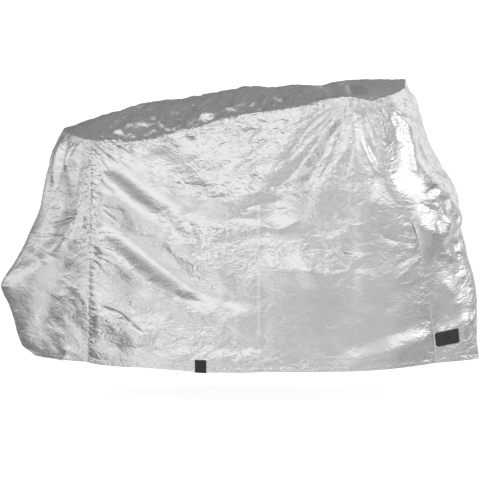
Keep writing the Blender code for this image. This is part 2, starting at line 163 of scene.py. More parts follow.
# Main soft folds of a side panel, which its solid has too: from (x, height) to (x, height), how wide, and how
# far out (minus is a trough)
Fold = namedtuple("Fold", "x0 z0 x1 z1 width out")
NEAR_FOLDS = (
    Fold(-0.60, 0.92, 0.00, 0.48, 0.066, 0.018),
    Fold(-0.60, 0.79, -0.08, 0.40, 0.066, -0.018),
    Fold(-0.60, 0.65, -0.26, 0.41, 0.062, 0.016),
    Fold(-0.60, 0.51, -0.30, 0.31, 0.060, -0.015),
    Fold(-0.60, 0.41, -0.32, 0.25, 0.055, 0.014),
    Fold(0.40, 1.22, 0.10, 0.72, 0.065, -0.020),
    Fold(0.42, 1.22, 0.26, 0.72, 0.060, 0.018),
    Fold(0.46, 1.16, 0.64, 0.80, 0.055, -0.012),
    Fold(0.49, 0.88, 0.49, 0.34, 0.055, 0.008),
    Fold(0.74, 0.300, 0.38, 0.220, 0.065, 0.003),
    Fold(0.74, 0.50, 0.28, 0.35, 0.065, -0.003),
    Fold(0.08, 0.56, 0.32, 0.53, 0.058, 0.016),
    Fold(-0.35, 0.98, -0.12, 0.82, 0.065, 0.012),
)
FAR_FOLDS = (
    Fold(-0.60, 0.86, 0.06, 0.50, 0.065, 0.022),
    Fold(-0.60, 0.68, -0.06, 0.36, 0.065, -0.020),
    Fold(-0.60, 0.50, -0.24, 0.26, 0.060, 0.016),
    Fold(0.50, 1.22, 0.16, 0.66, 0.065, -0.020),
    Fold(0.52, 1.22, 0.36, 0.70, 0.060, 0.018),
    Fold(0.58, 1.10, 0.70, 0.66, 0.058, -0.016),
    Fold(-0.10, 1.05, -0.20, 0.58, 0.065, 0.014),
    Fold(0.30, 0.60, 0.30, 0.14, 0.075, -0.014),
)

# Main soft folds of a stretch of the strip, which its solid has too: from (share of the way along, place
# across) to the same, how wide and how far out. The ends run from hem to roof, and the roof from rear to
# front. The place across is -1 at the near edge and 1 at the far one.
StripFold = namedtuple("StripFold", "up0 across0 up1 across1 width out")
REAR_FOLDS = (
    StripFold(0.96, -0.25, 0.66, -0.20, 0.030, 0.008),
    StripFold(0.85, -0.60, 0.50, -0.50, 0.045, -0.010),
    StripFold(0.66, -0.85, 0.34, -0.30, 0.045, 0.008),
    StripFold(0.46, -0.80, 0.10, -0.45, 0.045, -0.012),
    StripFold(0.90, 0.45, 0.40, 0.60, 0.050, -0.012),
    StripFold(0.55, 0.85, 0.20, 0.35, 0.050, 0.012),
)
ROOF_FOLDS = (
    StripFold(0.80, -0.80, 0.74, 0.90, 0.040, -0.014),
    StripFold(0.10, -0.20, 0.42, -0.55, 0.040, -0.008),
    StripFold(0.45, 0.60, 0.66, 0.20, 0.045, -0.008),
)
FRONT_FOLDS = (
    StripFold(0.98, -0.70, 0.62, -0.66, 0.040, 0.012),
    StripFold(0.62, -0.66, 0.46, -0.10, 0.040, 0.012),
    StripFold(0.88, -0.30, 0.64, -0.20, 0.045, -0.012),
    StripFold(0.50, -0.85, 0.36, -0.30, 0.045, -0.006),
    StripFold(0.80, 0.60, 0.50, 0.20, 0.050, 0.012),
    StripFold(0.30, -0.80, 0.08, -0.35, 0.040, 0.006),
)

# Creases that only the cloth has. The path is a list of places, (x, height) on a side or an end and (x, y)
# on the roof. form is 2 for a soft crease and 1 for a sharp one.
Crease = namedtuple("Crease", "path width out form")
NEAR_CREASES = (
    Crease(((-0.57, 0.935), (-0.50, 0.93), (-0.42, 0.89), (-0.35, 0.82), (-0.27, 0.76)), 0.032, -0.006, 2.0),
    Crease(
        ((-0.58, 0.69), (-0.47, 0.67), (-0.38, 0.59), (-0.28, 0.51), (-0.10, 0.44), (0.14, 0.40)),
        0.034, -0.005, 2.0,
    ),
    Crease(((-0.57, 0.57), (-0.47, 0.515), (-0.36, 0.44), (-0.25, 0.34), (-0.14, 0.285)), 0.030, -0.008, 2.0),
    Crease(((-0.30, 0.865), (-0.20, 0.835), (-0.08, 0.805), (0.04, 0.775)), 0.034, 0.011, 2.0),
    Crease(((-0.575, 0.00), (-0.570, 0.28), (-0.565, 0.58)), 0.060, 0.014, 2.0),
    Crease(((0.88, 0.305), (0.62, 0.222), (0.34, 0.162)), 0.040, 0.012, 2.0),
    Crease(((-0.56, 0.40), (-0.46, 0.374), (-0.40, 0.327), (-0.34, 0.278)), 0.008, -0.007, 1.0),
    Crease(((-0.545, 0.88), (-0.51, 0.845), (-0.47, 0.82)), 0.012, -0.007, 1.2),
    Crease(((0.415, 1.18), (0.31, 1.04), (0.20, 0.90), (0.10, 0.81)), 0.018, -0.008, 1.3),
    Crease(((0.42, 1.18), (0.35, 1.04), (0.27, 0.89), (0.20, 0.81)), 0.014, 0.007, 1.3),
    Crease(((0.42, 1.17), (0.385, 1.04), (0.33, 0.93), (0.27, 0.85)), 0.012, -0.007, 1.3),
    Crease(((0.44, 1.15), (0.42, 1.05), (0.39, 0.96)), 0.012, 0.006, 1.2),
    Crease(((0.36, 1.13), (0.34, 1.06), (0.33, 1.00)), 0.009, 0.005, 1.1),
    Crease(((0.33, 1.11), (0.30, 1.05), (0.29, 0.99)), 0.009, -0.005, 1.1),
    Crease(((0.475, 1.06), (0.50, 1.01), (0.545, 0.93)), 0.006, -0.004, 1.2),
    Crease(((0.49, 1.08), (0.515, 1.02), (0.55, 0.96)), 0.006, 0.004, 1.2),
    Crease(((0.46, 1.05), (0.485, 0.99), (0.53, 0.90)), 0.006, 0.004, 1.2),
    Crease(((0.496, 0.86), (0.500, 0.60), (0.498, 0.36)), 0.006, 0.0010, 1.3),
    Crease(((0.081, 0.90), (0.083, 0.55), (0.082, 0.20)), 0.006, 0.0016, 1.2),
    Crease(((0.33, 0.346), (0.46, 0.365), (0.58, 0.390), (0.62, 0.440)), 0.020, -0.0015, 1.9),
    Crease(((-0.34, 0.195), (-0.10, 0.195), (0.10, 0.185)), 0.030, 0.008, 2.0),
    Crease(((0.05, 0.72), (0.15, 0.70), (0.24, 0.735)), 0.012, 0.003, 1.3),
    Crease(((-0.56, 0.668), (-0.49, 0.668), (-0.42, 0.667)), 0.005, 0.0012, 1.2),
)
ROOF_CREASES = (
    Crease(((-0.47, -0.184), (-0.38, -0.184), (-0.30, -0.184), (-0.21, -0.190)), 0.014, -0.012, 1.6),
    Crease(((-0.53, -0.13), (-0.46, -0.15), (-0.40, -0.13), (-0.30, -0.14)), 0.007, 0.008, 1.0),
    Crease(((-0.44, -0.12), (-0.36, -0.10), (-0.26, -0.14)), 0.007, 0.008, 1.0),
    Crease(((-0.36, -0.07), (-0.31, -0.13), (-0.28, -0.17)), 0.007, 0.008, 1.0),
    Crease(((-0.20, -0.15), (-0.08, -0.18), (0.04, -0.16)), 0.008, 0.009, 1.0),
    Crease(((0.00, -0.20), (0.12, -0.17), (0.22, -0.21)), 0.008, 0.009, 1.0),
    Crease(((0.20, -0.16), (0.30, -0.20), (0.38, -0.18)), 0.008, 0.009, 1.0),
    Crease(((0.420, 0.25), (0.432, 0.02), (0.446, -0.28)), 0.016, -0.010, 1.2),
    Crease(((0.47, 0.20), (0.49, -0.02), (0.50, -0.24)), 0.018, 0.006, 1.5),
    Crease(((-0.40, -0.17), (-0.33, -0.15), (-0.24, -0.12)), 0.008, 0.005, 1.0),
    Crease(((-0.34, -0.12), (-0.27, -0.13), (-0.22, -0.08)), 0.008, -0.005, 1.0),
    Crease(((-0.30, -0.16), (-0.25, -0.11), (-0.21, -0.10)), 0.008, 0.004, 1.0),
    Crease(((-0.52, -0.08), (-0.40, -0.06), (-0.22, -0.05)), 0.018, 0.005, 1.4),
    Crease(((-0.10, -0.18), (0.06, -0.20), (0.24, -0.22)), 0.014, -0.006, 1.3),
    Crease(((0.02, -0.10), (0.20, -0.09), (0.36, -0.14)), 0.020, 0.005, 1.5),
    Crease(((-0.15, 0.12), (0.10, 0.15), (0.30, 0.12)), 0.020, -0.005, 1.5),
)
REAR_CREASES = (
    Crease(((-0.705, 0.120), (-0.676, 0.175), (-0.655, 0.220)), 0.010, 0.012, 1.1),
    Crease(((-0.87, 0.436), (-0.92, 0.430), (-0.97, 0.426)), 0.010, 0.004, 1.5),
    Crease(((-0.680, 1.03), (-0.696, 0.96), (-0.712, 0.89), (-0.730, 0.82)), 0.008, 0.012, 1.2),
    Crease(((-0.662, 1.03), (-0.678, 0.96), (-0.694, 0.88), (-0.712, 0.80)), 0.008, -0.014, 1.1),
    Crease(((-0.646, 1.02), (-0.660, 0.96), (-0.674, 0.89)), 0.008, 0.009, 1.2),
    Crease(((-0.60, 0.98), (-0.62, 0.86), (-0.66, 0.74)), 0.016, -0.007, 1.4),
    Crease(((-0.58, 0.80), (-0.64, 0.68), (-0.72, 0.58)), 0.016, 0.008, 1.4),
    Crease(((-0.840, 0.638), (-0.72, 0.640), (-0.61, 0.650)), 0.006, 0.0026, 1.2),
    Crease(((-0.82, 0.600), (-0.76, 0.575), (-0.69, 0.550)), 0.008, -0.003, 1.2),
    Crease(((-0.82, 0.575), (-0.77, 0.550), (-0.72, 0.530)), 0.007, 0.0025, 1.2),
    Crease(((-0.58, 0.50), (-0.65, 0.43), (-0.72, 0.40)), 0.014, 0.002, 1.3),
    Crease(((-0.59, 0.42), (-0.64, 0.34), (-0.70, 0.30)), 0.012, -0.003, 1.2),
    Crease(((-0.60, 0.28), (-0.68, 0.26), (-0.78, 0.30)), 0.016, 0.003, 1.4),
)
FRONT_CREASES = (
    Crease(
        ((0.640, 1.19), (0.650, 1.10), (0.658, 1.02), (0.664, 0.95), (0.672, 0.90), (0.700, 0.85)),
        0.022, 0.011, 1.5,
    ),
    Crease(((0.700, 0.85), (0.737, 0.80), (0.765, 0.75), (0.800, 0.70), (0.850, 0.65)), 0.020, 0.009, 1.4),
    Crease(((0.64, 0.700), (0.70, 0.685), (0.76, 0.662), (0.82, 0.645)), 0.056, 0.018, 2.0),
    Crease(((0.661, 1.154), (0.689, 1.075), (0.729, 0.972)), 0.008, 0.007, 1.1),
    Crease(((0.67, 1.00), (0.71, 0.93), (0.75, 0.88)), 0.016, -0.005, 1.4),
    Crease(((0.66, 1.10), (0.70, 1.00), (0.75, 0.92)), 0.014, 0.006, 1.3),
    Crease(((0.755, 0.81), (0.79, 0.785), (0.85, 0.80)), 0.012, -0.006, 1.2),
    Crease(((0.70, 0.70), (0.77, 0.66), (0.85, 0.65)), 0.018, 0.006, 1.5),
    Crease(((0.74, 0.62), (0.80, 0.585), (0.88, 0.575)), 0.010, 0.003, 1.2),
    Crease(((0.74, 0.255), (0.84, 0.285), (0.94, 0.320)), 0.028, 0.006, 1.9),
)

# Fans of creases that run out from where the cloth is held or pulled: the corner, the first and last angle
# (degrees), how many, where they begin and how far they run, how wide and deep they are, and their own draw
Fan = namedtuple("Fan", "corner first last count inner reach width depth draw")
# How uneven a fan's creases are: in angle (a share of a step) and bend (radians), and between which shares of
# the fan's own values they start, run, lift and spread. All have the same form.
FAN_ANGLE = 0.4
FAN_BEND = 0.25
FAN_STARTS = (0.5, 1.3)
FAN_RUNS = (0.35, 1.0)
FAN_DEPTHS = (0.4, 1.0)
FAN_WIDTHS = (0.7, 1.4)
FAN_FORM = 1.2
NEAR_FANS = (
    Fan((0.425, 1.22), -148, -84, 16, 0.05, 0.42, 0.0075, 0.0045, 81),
    Fan((0.46, 1.20), -84, -52, 6, 0.06, 0.34, 0.0080, 0.0046, 82),
    Fan((-0.60, 1.05), -14, -62, 9, 0.04, 0.26, 0.0080, 0.0045, 83),
    Fan((-0.60, 0.80), -18, -52, 6, 0.02, 0.18, 0.0070, 0.0040, 84),
    Fan((-0.60, 0.60), -14, -50, 6, 0.02, 0.18, 0.0070, 0.0040, 85),
    Fan((-0.60, 0.38), 8, -40, 6, 0.02, 0.20, 0.0080, 0.0026, 86),
    Fan((0.76, 0.62), 150, 215, 6, 0.05, 0.22, 0.0090, 0.0022, 87),
)
FAR_FANS = (
    Fan((0.46, 1.22), -140, -80, 12, 0.05, 0.42, 0.0080, 0.0045, 91),
    Fan((-0.58, 1.05), -14, -62, 8, 0.04, 0.26, 0.0080, 0.0045, 92),
    Fan((-0.60, 0.60), -14, -50, 6, 0.02, 0.18, 0.0070, 0.0040, 93),
    Fan((0.76, 0.62), 150, 215, 8, 0.05, 0.22, 0.0080, 0.0040, 94),
)
REAR_FANS = (
    Fan((-0.60, 1.06), -95, -125, 7, 0.03, 0.26, 0.0060, 0.0050, 101),
    Fan((-0.58, 0.74), 180, 240, 7, 0.02, 0.16, 0.0070, 0.0050, 102),
    Fan((-0.58, 0.44), 160, 220, 7, 0.02, 0.12, 0.0070, 0.0018, 103),
)
ROOF_FANS = (
    Fan((-0.58, -0.20), 0, 60, 9, 0.04, 0.36, 0.0085, 0.0110, 111),
    Fan((0.43, -0.30), 105, 176, 9, 0.03, 0.38, 0.0085, 0.0120, 112),
    Fan((0.43, 0.25), 185, 250, 7, 0.03, 0.34, 0.0080, 0.0090, 113),
    Fan((-0.22, -0.24), 20, 150, 10, 0.01, 0.20, 0.0070, 0.0110, 114),
    Fan((0.12, -0.26), 30, 150, 9, 0.01, 0.20, 0.0070, 0.0110, 115),
)
FRONT_FANS = (
    Fan((0.56, 1.17), -25, -75, 8, 0.02, 0.24, 0.0070, 0.0050, 121),
    Fan((0.66, 0.80), -30, 30, 7, 0.05, 0.16, 0.0070, 0.0022, 122),
    Fan((0.72, 0.60), -40, 30, 6, 0.02, 0.14, 0.0080, 0.0020, 123),
)

# Where the cloth is smooth: a middle, a reach, its turn (degrees) and by how much the crumples are less
Calm = namedtuple("Calm", "middle reach turn share")
NEAR_CALMS = (
    Calm((0.20, 0.69), (0.11, 0.060), 0, 0.90),
    Calm((0.20, 0.57), (0.11, 0.030), 0, 0.60),
    Calm((0.09, 0.755), (0.09, 0.045), 0, 0.80),
    Calm((-0.20, 0.785), (0.17, 0.035), -12, 0.75),
    Calm((-0.28, 0.97), (0.17, 0.065), 8, 0.65),
    Calm((0.20, 0.93), (0.22, 0.07), 40, 0.35),
    Calm((0.34, 0.41), (0.30, 0.12), 0, 0.75),
    Calm((0.30, 0.24), (0.34, 0.08), 0, 0.60),
    Calm((0.475, 1.06), (0.045, 0.12), 0, 0.60),
    Calm((-0.42, 0.78), (0.17, 0.065), -38, 0.80),
    Calm((-0.36, 0.58), (0.24, 0.050), -36, 0.85),
    Calm((-0.42, 0.87), (0.15, 0.035), -30, 0.75),
    Calm((-0.42, 0.47), (0.16, 0.040), -38, 0.70),
    Calm((0.56, 0.30), (0.20, 0.11), 10, 0.70),
    Calm((0.62, 0.53), (0.13, 0.14), 0, 0.65),
    Calm((0.55, 0.75), (0.12, 0.14), 0, 0.60),
    Calm((0.00, 0.40), (0.22, 0.07), -10, 0.60),
)
STRIP_CALMS = (
    Calm((3.22, -0.16), (0.24, 0.16), 0, 0.55),
    Calm((2.76, -0.36), (0.26, 0.10), 0, 0.65),
    Calm((3.12, -0.30), (0.12, 0.14), 0, 0.55),
    Calm((0.32, -0.15), (0.40, 0.20), 0, 0.60),
)
FAR_CALMS = (
    Calm((0.10, 0.62), (0.16, 0.08), 0, 0.80),
    Calm((-0.15, 0.34), (0.30, 0.11), 0, 0.70),
    Calm((-0.38, 0.68), (0.24, 0.06), -36, 0.80),
)

# Crumples: fields of flat facets between sharp little folds. Each has a middle and a reach on the sheet, the
# length and height of its facets, how they are turned (degrees), how deep they are and its own draw.
Crumple = namedtuple("Crumple", "middle reach grain turn depth draw")
EVERYWHERE = (9.0, 9.0)
# How far the corners of the facets are moved and how many more of them lie round a sheet, both in facets,
# when two corners are the same, and a height above them all, from which their own heights are read
FACET_UNEVEN = 0.45
FACET_MARGIN = 3
SAME_CORNER = 1e-7
ABOVE_FACETS = 2.0
NEAR_CRUMPLES = (
    Crumple((0.0, 0.6), EVERYWHERE, (0.110, 0.085), 0, 0.0046, 11),
    Crumple((0.0, 0.6), EVERYWHERE, (0.050, 0.036), -20, 0.0027, 12),
    Crumple((0.0, 0.6), EVERYWHERE, (0.022, 0.016), 15, 0.0008, 13),
    Crumple((0.00, 0.74), (0.34, 0.13), (0.110, 0.034), 2, 0.0078, 14),
    Crumple((0.40, 0.66), (0.10, 0.16), (0.080, 0.026), 4, 0.0075, 15),
    Crumple((0.15, 0.95), (0.30, 0.12), (0.070, 0.026), 32, 0.0056, 16),
    Crumple((-0.18, 1.06), (0.34, 0.05), (0.030, 0.022), 10, 0.0050, 17),
    Crumple((0.66, 0.58), (0.07, 0.10), (0.055, 0.028), 20, 0.0030, 18),
    Crumple((-0.20, 0.42), (0.26, 0.12), (0.085, 0.028), -38, 0.0040, 19),
    Crumple((-0.30, 0.24), (0.30, 0.08), (0.060, 0.034), 20, 0.0036, 20),
)
FAR_CRUMPLES = (
    Crumple((0.0, 0.6), EVERYWHERE, (0.110, 0.085), 0, 0.0046, 31),
    Crumple((0.0, 0.6), EVERYWHERE, (0.050, 0.036), 20, 0.0027, 32),
    Crumple((0.0, 0.6), EVERYWHERE, (0.022, 0.016), -15, 0.0008, 33),
    Crumple((0.05, 0.66), (0.34, 0.16), (0.100, 0.030), -4, 0.0080, 34),
    Crumple((0.35, 0.95), (0.26, 0.14), (0.070, 0.026), 40, 0.0056, 35),
    Crumple((-0.30, 0.45), (0.26, 0.14), (0.085, 0.028), -38, 0.0050, 36),
)
STRIP_CRUMPLES = (
    Crumple((1.8, 0.0), EVERYWHERE, (0.095, 0.075), 0, 0.0046, 51),
    Crumple((1.8, 0.0), EVERYWHERE, (0.040, 0.032), 20, 0.0024, 52),
    Crumple((1.8, 0.0), EVERYWHERE, (0.020, 0.016), -15, 0.0008, 53),
    Crumple((0.45, -0.20), (0.40, 0.16), (0.046, 0.034), 40, 0.0026, 54),
    Crumple((3.00, -0.12), (0.13, 0.16), (0.050, 0.034), -30, 0.0050, 55),
    Crumple((2.66, -0.14), (0.16, 0.12), (0.070, 0.040), -40, 0.0060, 59),
    Crumple((1.45, -0.16), (0.22, 0.06), (0.050, 0.020), 0, 0.0060, 56),
    Crumple((1.50, 0.0), (0.40, 9.0), (0.095, 0.034), 10, 0.0095, 57),
    Crumple((1.50, 0.0), (0.45, 9.0), (0.048, 0.026), -20, 0.0065, 58),
    Crumple((1.50, 0.0), (0.50, 9.0), (0.026, 0.014), 35, 0.0042, 60),
)

# How deep the gathers beside a seam are, by the share of the way along the strip from the rear hem
Gather = namedtuple("Gather", "share depth")
NEAR_GATHERS = (
    Gather(0.00, 0.0014),
    Gather(0.06, 0.0050),
    Gather(0.22, 0.0066),
    Gather(0.28, 0.0040),
    Gather(0.34, 0.0034),
    Gather(0.54, 0.0034),
    Gather(0.66, 0.0016),
    Gather(0.72, 0.0018),
    Gather(0.86, 0.0008),
    Gather(1.00, 0.0004),
)
FAR_GATHERS = (
    Gather(0.00, 0.0010),
    Gather(0.20, 0.0040),
    Gather(0.40, 0.0030),
    Gather(0.60, 0.0014),
    Gather(0.80, 0.0028),
    Gather(1.00, 0.0008),
)
# The gathers of each side's seam and their own draw (-1 is the near side)
GATHERS = {-1: (NEAR_GATHERS, 71), 1: (FAR_GATHERS, 72)}
# The gathers come in two sizes: their spacing, how far they reach from the seam, how far they lean and their
# share of the depth
GatherSize = namedtuple("GatherSize", "pitch reach lean share")
GATHER_SIZES = (GatherSize(0.0135, 0.019, 0.40, 0.90), GatherSize(0.0075, 0.012, -0.35, 0.30))
# How uneven their spacing is, as a share of it, the least share of their full depth that one has, and how far
# they are drawn past a seam's ends
GATHER_UNEVEN = 0.35
GATHER_LEAST = 0.3
GATHER_MARGIN = 0.1

# All that is soft on a side panel, by the side
Relief = namedtuple("Relief", "folds creases fans calms crumples")
PANELS = {
    -1: Relief(NEAR_FOLDS, NEAR_CREASES, NEAR_FANS, NEAR_CALMS, NEAR_CRUMPLES),
    1: Relief(FAR_FOLDS, (), FAR_FANS, FAR_CALMS, FAR_CRUMPLES),
}

# Seams: how far from one the cloth is drawn with it, what the strip's last cell is divided by when it tilts
# the way a seam stands out, and the rows of the allowance turned in, each as (how far in, how far back under
# the sheet) in shares of its width
SEAM_REACH = 0.014
SEAM_TILT = 0.004
ALLOWANCE_ROWS = ((0.20, 0.02), (1.00, 0.08))
TURNED_IN = len(ALLOWANCE_ROWS)
# Hems: how deep and wide the groove of the stitch line is, the share of the crumples left below it and how
# far above it they are all back, the distance to the inner layer, which rows of the outer layer the inner one
# repeats and how far past the stitch line they go, and the rows of the fold, each as (how far down, how far
# in) in shares of the distance to the inner layer
HEM_GROOVE = 0.0007
HEM_GROOVE_WIDTH = 0.003
HEM_CRUMPLES = 0.5
HEM_CRUMPLES_BACK = 0.03
HEM_LAYER = 0.0022
HEM_INNER_ROWS = (8, 6, 4, 2, 1)
HEM_INNER_EDGE = 0.002
HEM_FOLD_ROWS = ((0.35, 0.85), (0.45, 0.40))
# Stitches: their distance to the cloth, their radius, their length as a share of the pitch, their rings, each
# as (place along the length, share of the radius), the corners of a ring in half turns, and how far ahead of
# its middle a stitch aims, as a share of the pitch. What is sewn on has its thread partly sunk in.
STITCH_STAND_OFF = 0.0002
THREAD_RADIUS = 0.0004
STITCH_LENGTH = 0.9
STITCH_RINGS = ((-0.40, 0.35), (-0.22, 1.0), (0.22, 1.0), (0.40, 0.35))
STITCH_CORNERS = (0.25, 0.75, 1.25, 1.75)
STITCH_AIM = 0.25
THREAD_OUT = 0.3

# How round the edges of the thick pieces are, as a share of their thickness
SHEET_ROUNDED = 0.3
# The tabs: where they are, how wide, how far off the cloth, how much more of the cloth than their own size is
# looked at and how often that is smoothed, their columns and rows on a leg and in the bend, and the rows and
# columns that are sewn
TAB_X = -0.146
TAB_WIDTH = 0.044
TAB_STAND_OFF = 0.0012
TAB_MARGIN = 0.004
TAB_SMOOTHED = 6
TAB_COLUMNS = 15
TAB_LEG_ROWS = 19
TAB_BEND_ROWS = 7
TAB_SEWN_ROWS = (1, 9)
TAB_SEWN_COLUMNS = (1, -2)
TAB_THREAD = (0.05, 0.05, 0.052)
# The patch: where its middle is, its tilt, how far its corners are cut off, its thickness, how far it is off
# the cloth, its columns and rows, how often it is evened, how far in its stitches are (in rows) and how thick
# they are as a share of the hem's
PATCH_CENTRE = (0.803, 0.247)
PATCH_TILT = math.radians(6.5)
PATCH_CLIP = 0.014
PATCH_CLIPPED = ((-1, -1), (-1, 1), (1, -1))
PATCH_THICKNESS = 0.001
PATCH_STAND_OFF = 0.0012
PATCH_COLUMNS = 41
PATCH_ROWS = 25
PATCH_EVENED = 14
PATCH_SEWN = 2
PATCH_STITCHES = 0.9
PATCH_THREAD = (0.09, 0.09, 0.092)
# A place in front of the whole cover, from which it is looked at to find what is behind the patch
FAR_IN_FRONT = -2.0

# Fine wrinkles of the silver coat, in three sizes: how many to a metre, their detail, how bent they are and
# their share of the height. The middle ones have worn crests.
Wrinkle = namedtuple("Wrinkle", "scale detail bent share")
WRINKLES = (Wrinkle(24.0, 1.0, 0.9, 1.0), Wrinkle(58.0, 1.0, 0.5, 0.36), Wrinkle(260.0, 0.0, 0.2, 0.02))
WRINKLE_ROUGHNESS = 0.55
WRINKLE_STRETCH = 1.5
WRINKLE_DEPTH = 0.0055
CREST_SHARPNESS = 14.0
# Smudges of all the materials: how many to a metre at scale 1
SMUDGES = 5.0
# How much brighter the webbing is on its raised threads and the patch where it is smudged, and what is left
# of a thread's colour where it is dull
WEBBING_RAISED = 2.4
PATCH_SMUDGED = 1.6
THREAD_DULL = 0.8
# The silver coat: how metallic it is, how rough, and how much rougher where it is smudged, how rough the
# inside is, what is left of the colour where it is clean and where it is worn, how worn the crests are, and
# how strong and deep the bump of the weave is
COAT_METALLIC = 0.88
COAT_ROUGHNESS = 0.21
COAT_SMUDGED = 0.14
INSIDE_ROUGHNESS = 0.75
COAT_CLEAN = 0.93
COAT_WORN = 0.80
CRESTS_WORN = 0.25
WEAVE_STRENGTH = 0.25
WEAVE_DEPTH = 0.00008

# Brightness of the studio in front, at the sides and behind, by the height of the direction: (height from -1
# straight down to 1 straight up, brightness)
STUDIO_FRONT = (
    (-1.00, 1.05),
    (-0.75, 0.95),
    (-0.60, 0.82),
    (-0.46, 0.62),
    (-0.34, 0.56),
    (-0.22, 0.58),
    (-0.12, 0.71),
    (0.00, 1.06),
    (0.10, 1.25),
    (0.42, 1.18),
    (0.56, 1.02),
    (0.68, 0.55),
    (0.78, 0.34),
    (1.00, 0.20),
)
STUDIO_SIDES = (
    (-1.00, 0.55),
    (-0.50, 0.44),
    (-0.25, 0.53),
    (-0.12, 0.62),
    (-0.03, 0.72),
    (0.07, 0.94),
    (0.18, 1.10),
    (0.45, 0.98),
    (0.60, 0.55),
    (0.75, 0.30),
    (1.00, 0.20),
)
STUDIO_BACK = (
    (-1.00, 0.60),
    (-0.15, 0.55),
    (0.00, 0.50),
    (0.09, 0.36),
    (0.20, 0.20),
    (0.31, 0.15),
    (0.42, 0.24),
    (0.54, 0.15),
    (0.65, 0.25),
    (0.76, 0.15),
    (0.87, 0.26),
    (1.00, 0.16),
)
# Where the sides take over from the front, and the back from the sides, by how far back a direction points
FRONT_TO_SIDES = (-0.80, -0.25)
SIDES_TO_BACK = (0.10, 0.50)
# Glows in the studio, or shades where the strength is below 0: azimuth from the front towards the right and
# elevation (degrees), how narrow they are and how strong
Glow = namedtuple("Glow", "azimuth elevation narrow strength")
GLOWS = (
    Glow(84.0, 11.0, 32.0, 0.95),
    Glow(130.0, 21.0, 28.0, 0.60),
    Glow(147.0, 21.0, 60.0, 0.80),
    Glow(64.0, 9.0, 40.0, 0.25),
    Glow(96.0, -10.0, 20.0, -0.40),
    Glow(150.0, 10.0, 20.0, 0.50),
    Glow(140.0, -18.0, 12.0, 0.30),
    Glow(-38.0, -34.0, 12.0, 0.58),
    Glow(22.0, 23.0, 12.0, -0.54),
    Glow(-22.0, 29.0, 10.0, 0.36),
    Glow(-94.0, -27.0, 9.0, -0.78),
    Glow(-60.0, -20.0, 6.0, -0.12),
    Glow(-88.0, 0.0, 13.0, 0.72),
    Glow(-94.0, 18.0, 40.0, -1.00),
    Glow(180.0, 40.0, 30.0, 0.16),
)
# Stands, cloths and lamps in the studio, as uneven brightness: (how much of a thing, share of the light), and
# how small they are. There are more of them overhead, above these heights.
THINGS_SCALE = 3.4
OVERHEAD_SCALE = 10.0
OVERHEAD_FROM = (0.30, 0.62)
STUDIO_THINGS = ((0.34, 0.62), (0.44, 0.92), (0.56, 1.04), (0.66, 1.34))
STUDIO_OVERHEAD = ((0.36, 0.35), (0.47, 0.65), (0.55, 0.90), (0.66, 1.60))
DARKEST = 0.12
# The floor: its side, its grey, and how brightly it glows for the cover and for the camera
FLOOR_SIDE = 160.0
FLOOR_GREY = 0.42
FLOOR_GLOW = 0.50
FLOOR_GLOW_SEEN = 0.90
# The overhead light: its strength, how wide it is and how it is turned
OVERHEAD_LIGHT = 2.2
OVERHEAD_WIDTH = math.radians(100.0)
OVERHEAD_TURN = (math.radians(12.0), math.radians(8.0), 0.0)
# The camera
CAMERA_TARGET = (0.0, 0.0, -0.579)
CAMERA_DISTANCE = 18.0
CAMERA_AZIMUTH = math.radians(1.0)
CAMERA_ELEVATION = math.radians(8.2)
CAMERA_SEES = 400.0
SENSOR = 36.0
LENS = 347.9


class CoverSizes(bpy.types.PropertyGroup):
    """Sizes of the cover's sewing and crumples."""

    hem_depth: FloatProperty(
        name="Hem depth",
        description="Height of the hem's stitch line above its fold",
        default=0.020,
        min=0.008,
        max=0.026,
        unit="LENGTH",
    )
    seam_allowance: FloatProperty(
        name="Seam allowance",
        description="Width of cloth turned in at each seam",
        default=0.009,
        min=0.003,
        max=0.02,
        unit="LENGTH",
    )
    seam_dip: FloatProperty(
        name="Seam dip",
        description="How far the stitches pull a seam in",
        default=0.0013,
        min=0.0,
        max=0.006,
        unit="LENGTH",
    )
    crumple: FloatProperty(
        name="Crumple",
        description="Depth of the crumples, as a share of what the tables give",
        default=1.0,
        min=0.0,
        max=2.0,
        subtype="FACTOR",
    )
    tab_leg: FloatProperty(
        name="Tab leg",
        description="Height of the webbing tab above the hem",
        default=0.053,
        unit="LENGTH",
    )
    tab_thickness: FloatProperty(
        name="Tab thickness",
        description="Thickness of the tab's webbing",
        default=0.0015,
        unit="LENGTH",
    )
    patch_width: FloatProperty(
        name="Patch width",
        description="Width of the patch, seen square on to the cover's side",
        default=0.092,
        unit="LENGTH",
    )
    patch_height: FloatProperty(
        name="Patch height",
        description="Height of the patch",
        default=0.058,
        unit="LENGTH",
    )
    stitch_pitch: FloatProperty(
        name="Stitch pitch",
        description="Distance from one stitch to the next",
        default=0.0034,
        unit="LENGTH",
    )


# What all the colours have in common
COLOUR = {"subtype": "COLOR", "min": 0.0, "max": 1.0}


class CoverColours(bpy.types.PropertyGroup):
    """Colours of the cover's materials."""

    silver: FloatVectorProperty(
        name="Silver coat",
        description="Colour of the coated outer face",
        default=(0.900, 0.904, 0.912),
        **COLOUR,
    )
    inside: FloatVectorProperty(
        name="Inside",
        description="Colour of the uncoated inner face",
        default=(0.50, 0.50, 0.50),
        **COLOUR,
    )
    thread: FloatVectorProperty(
        name="Thread",
        description="Colour of the sewing thread of the hem",
        default=(0.55, 0.55, 0.56),
        **COLOUR,
    )
    webbing: FloatVectorProperty(
        name="Webbing",
        description="Colour of the tabs",
        default=(0.018, 0.018, 0.019),
        **COLOUR,
    )
    patch: FloatVectorProperty(
        name="Patch",
        description="Colour of the patch",
        default=(0.022, 0.022, 0.023),
        **COLOUR,
    )


# Curves and surfaces


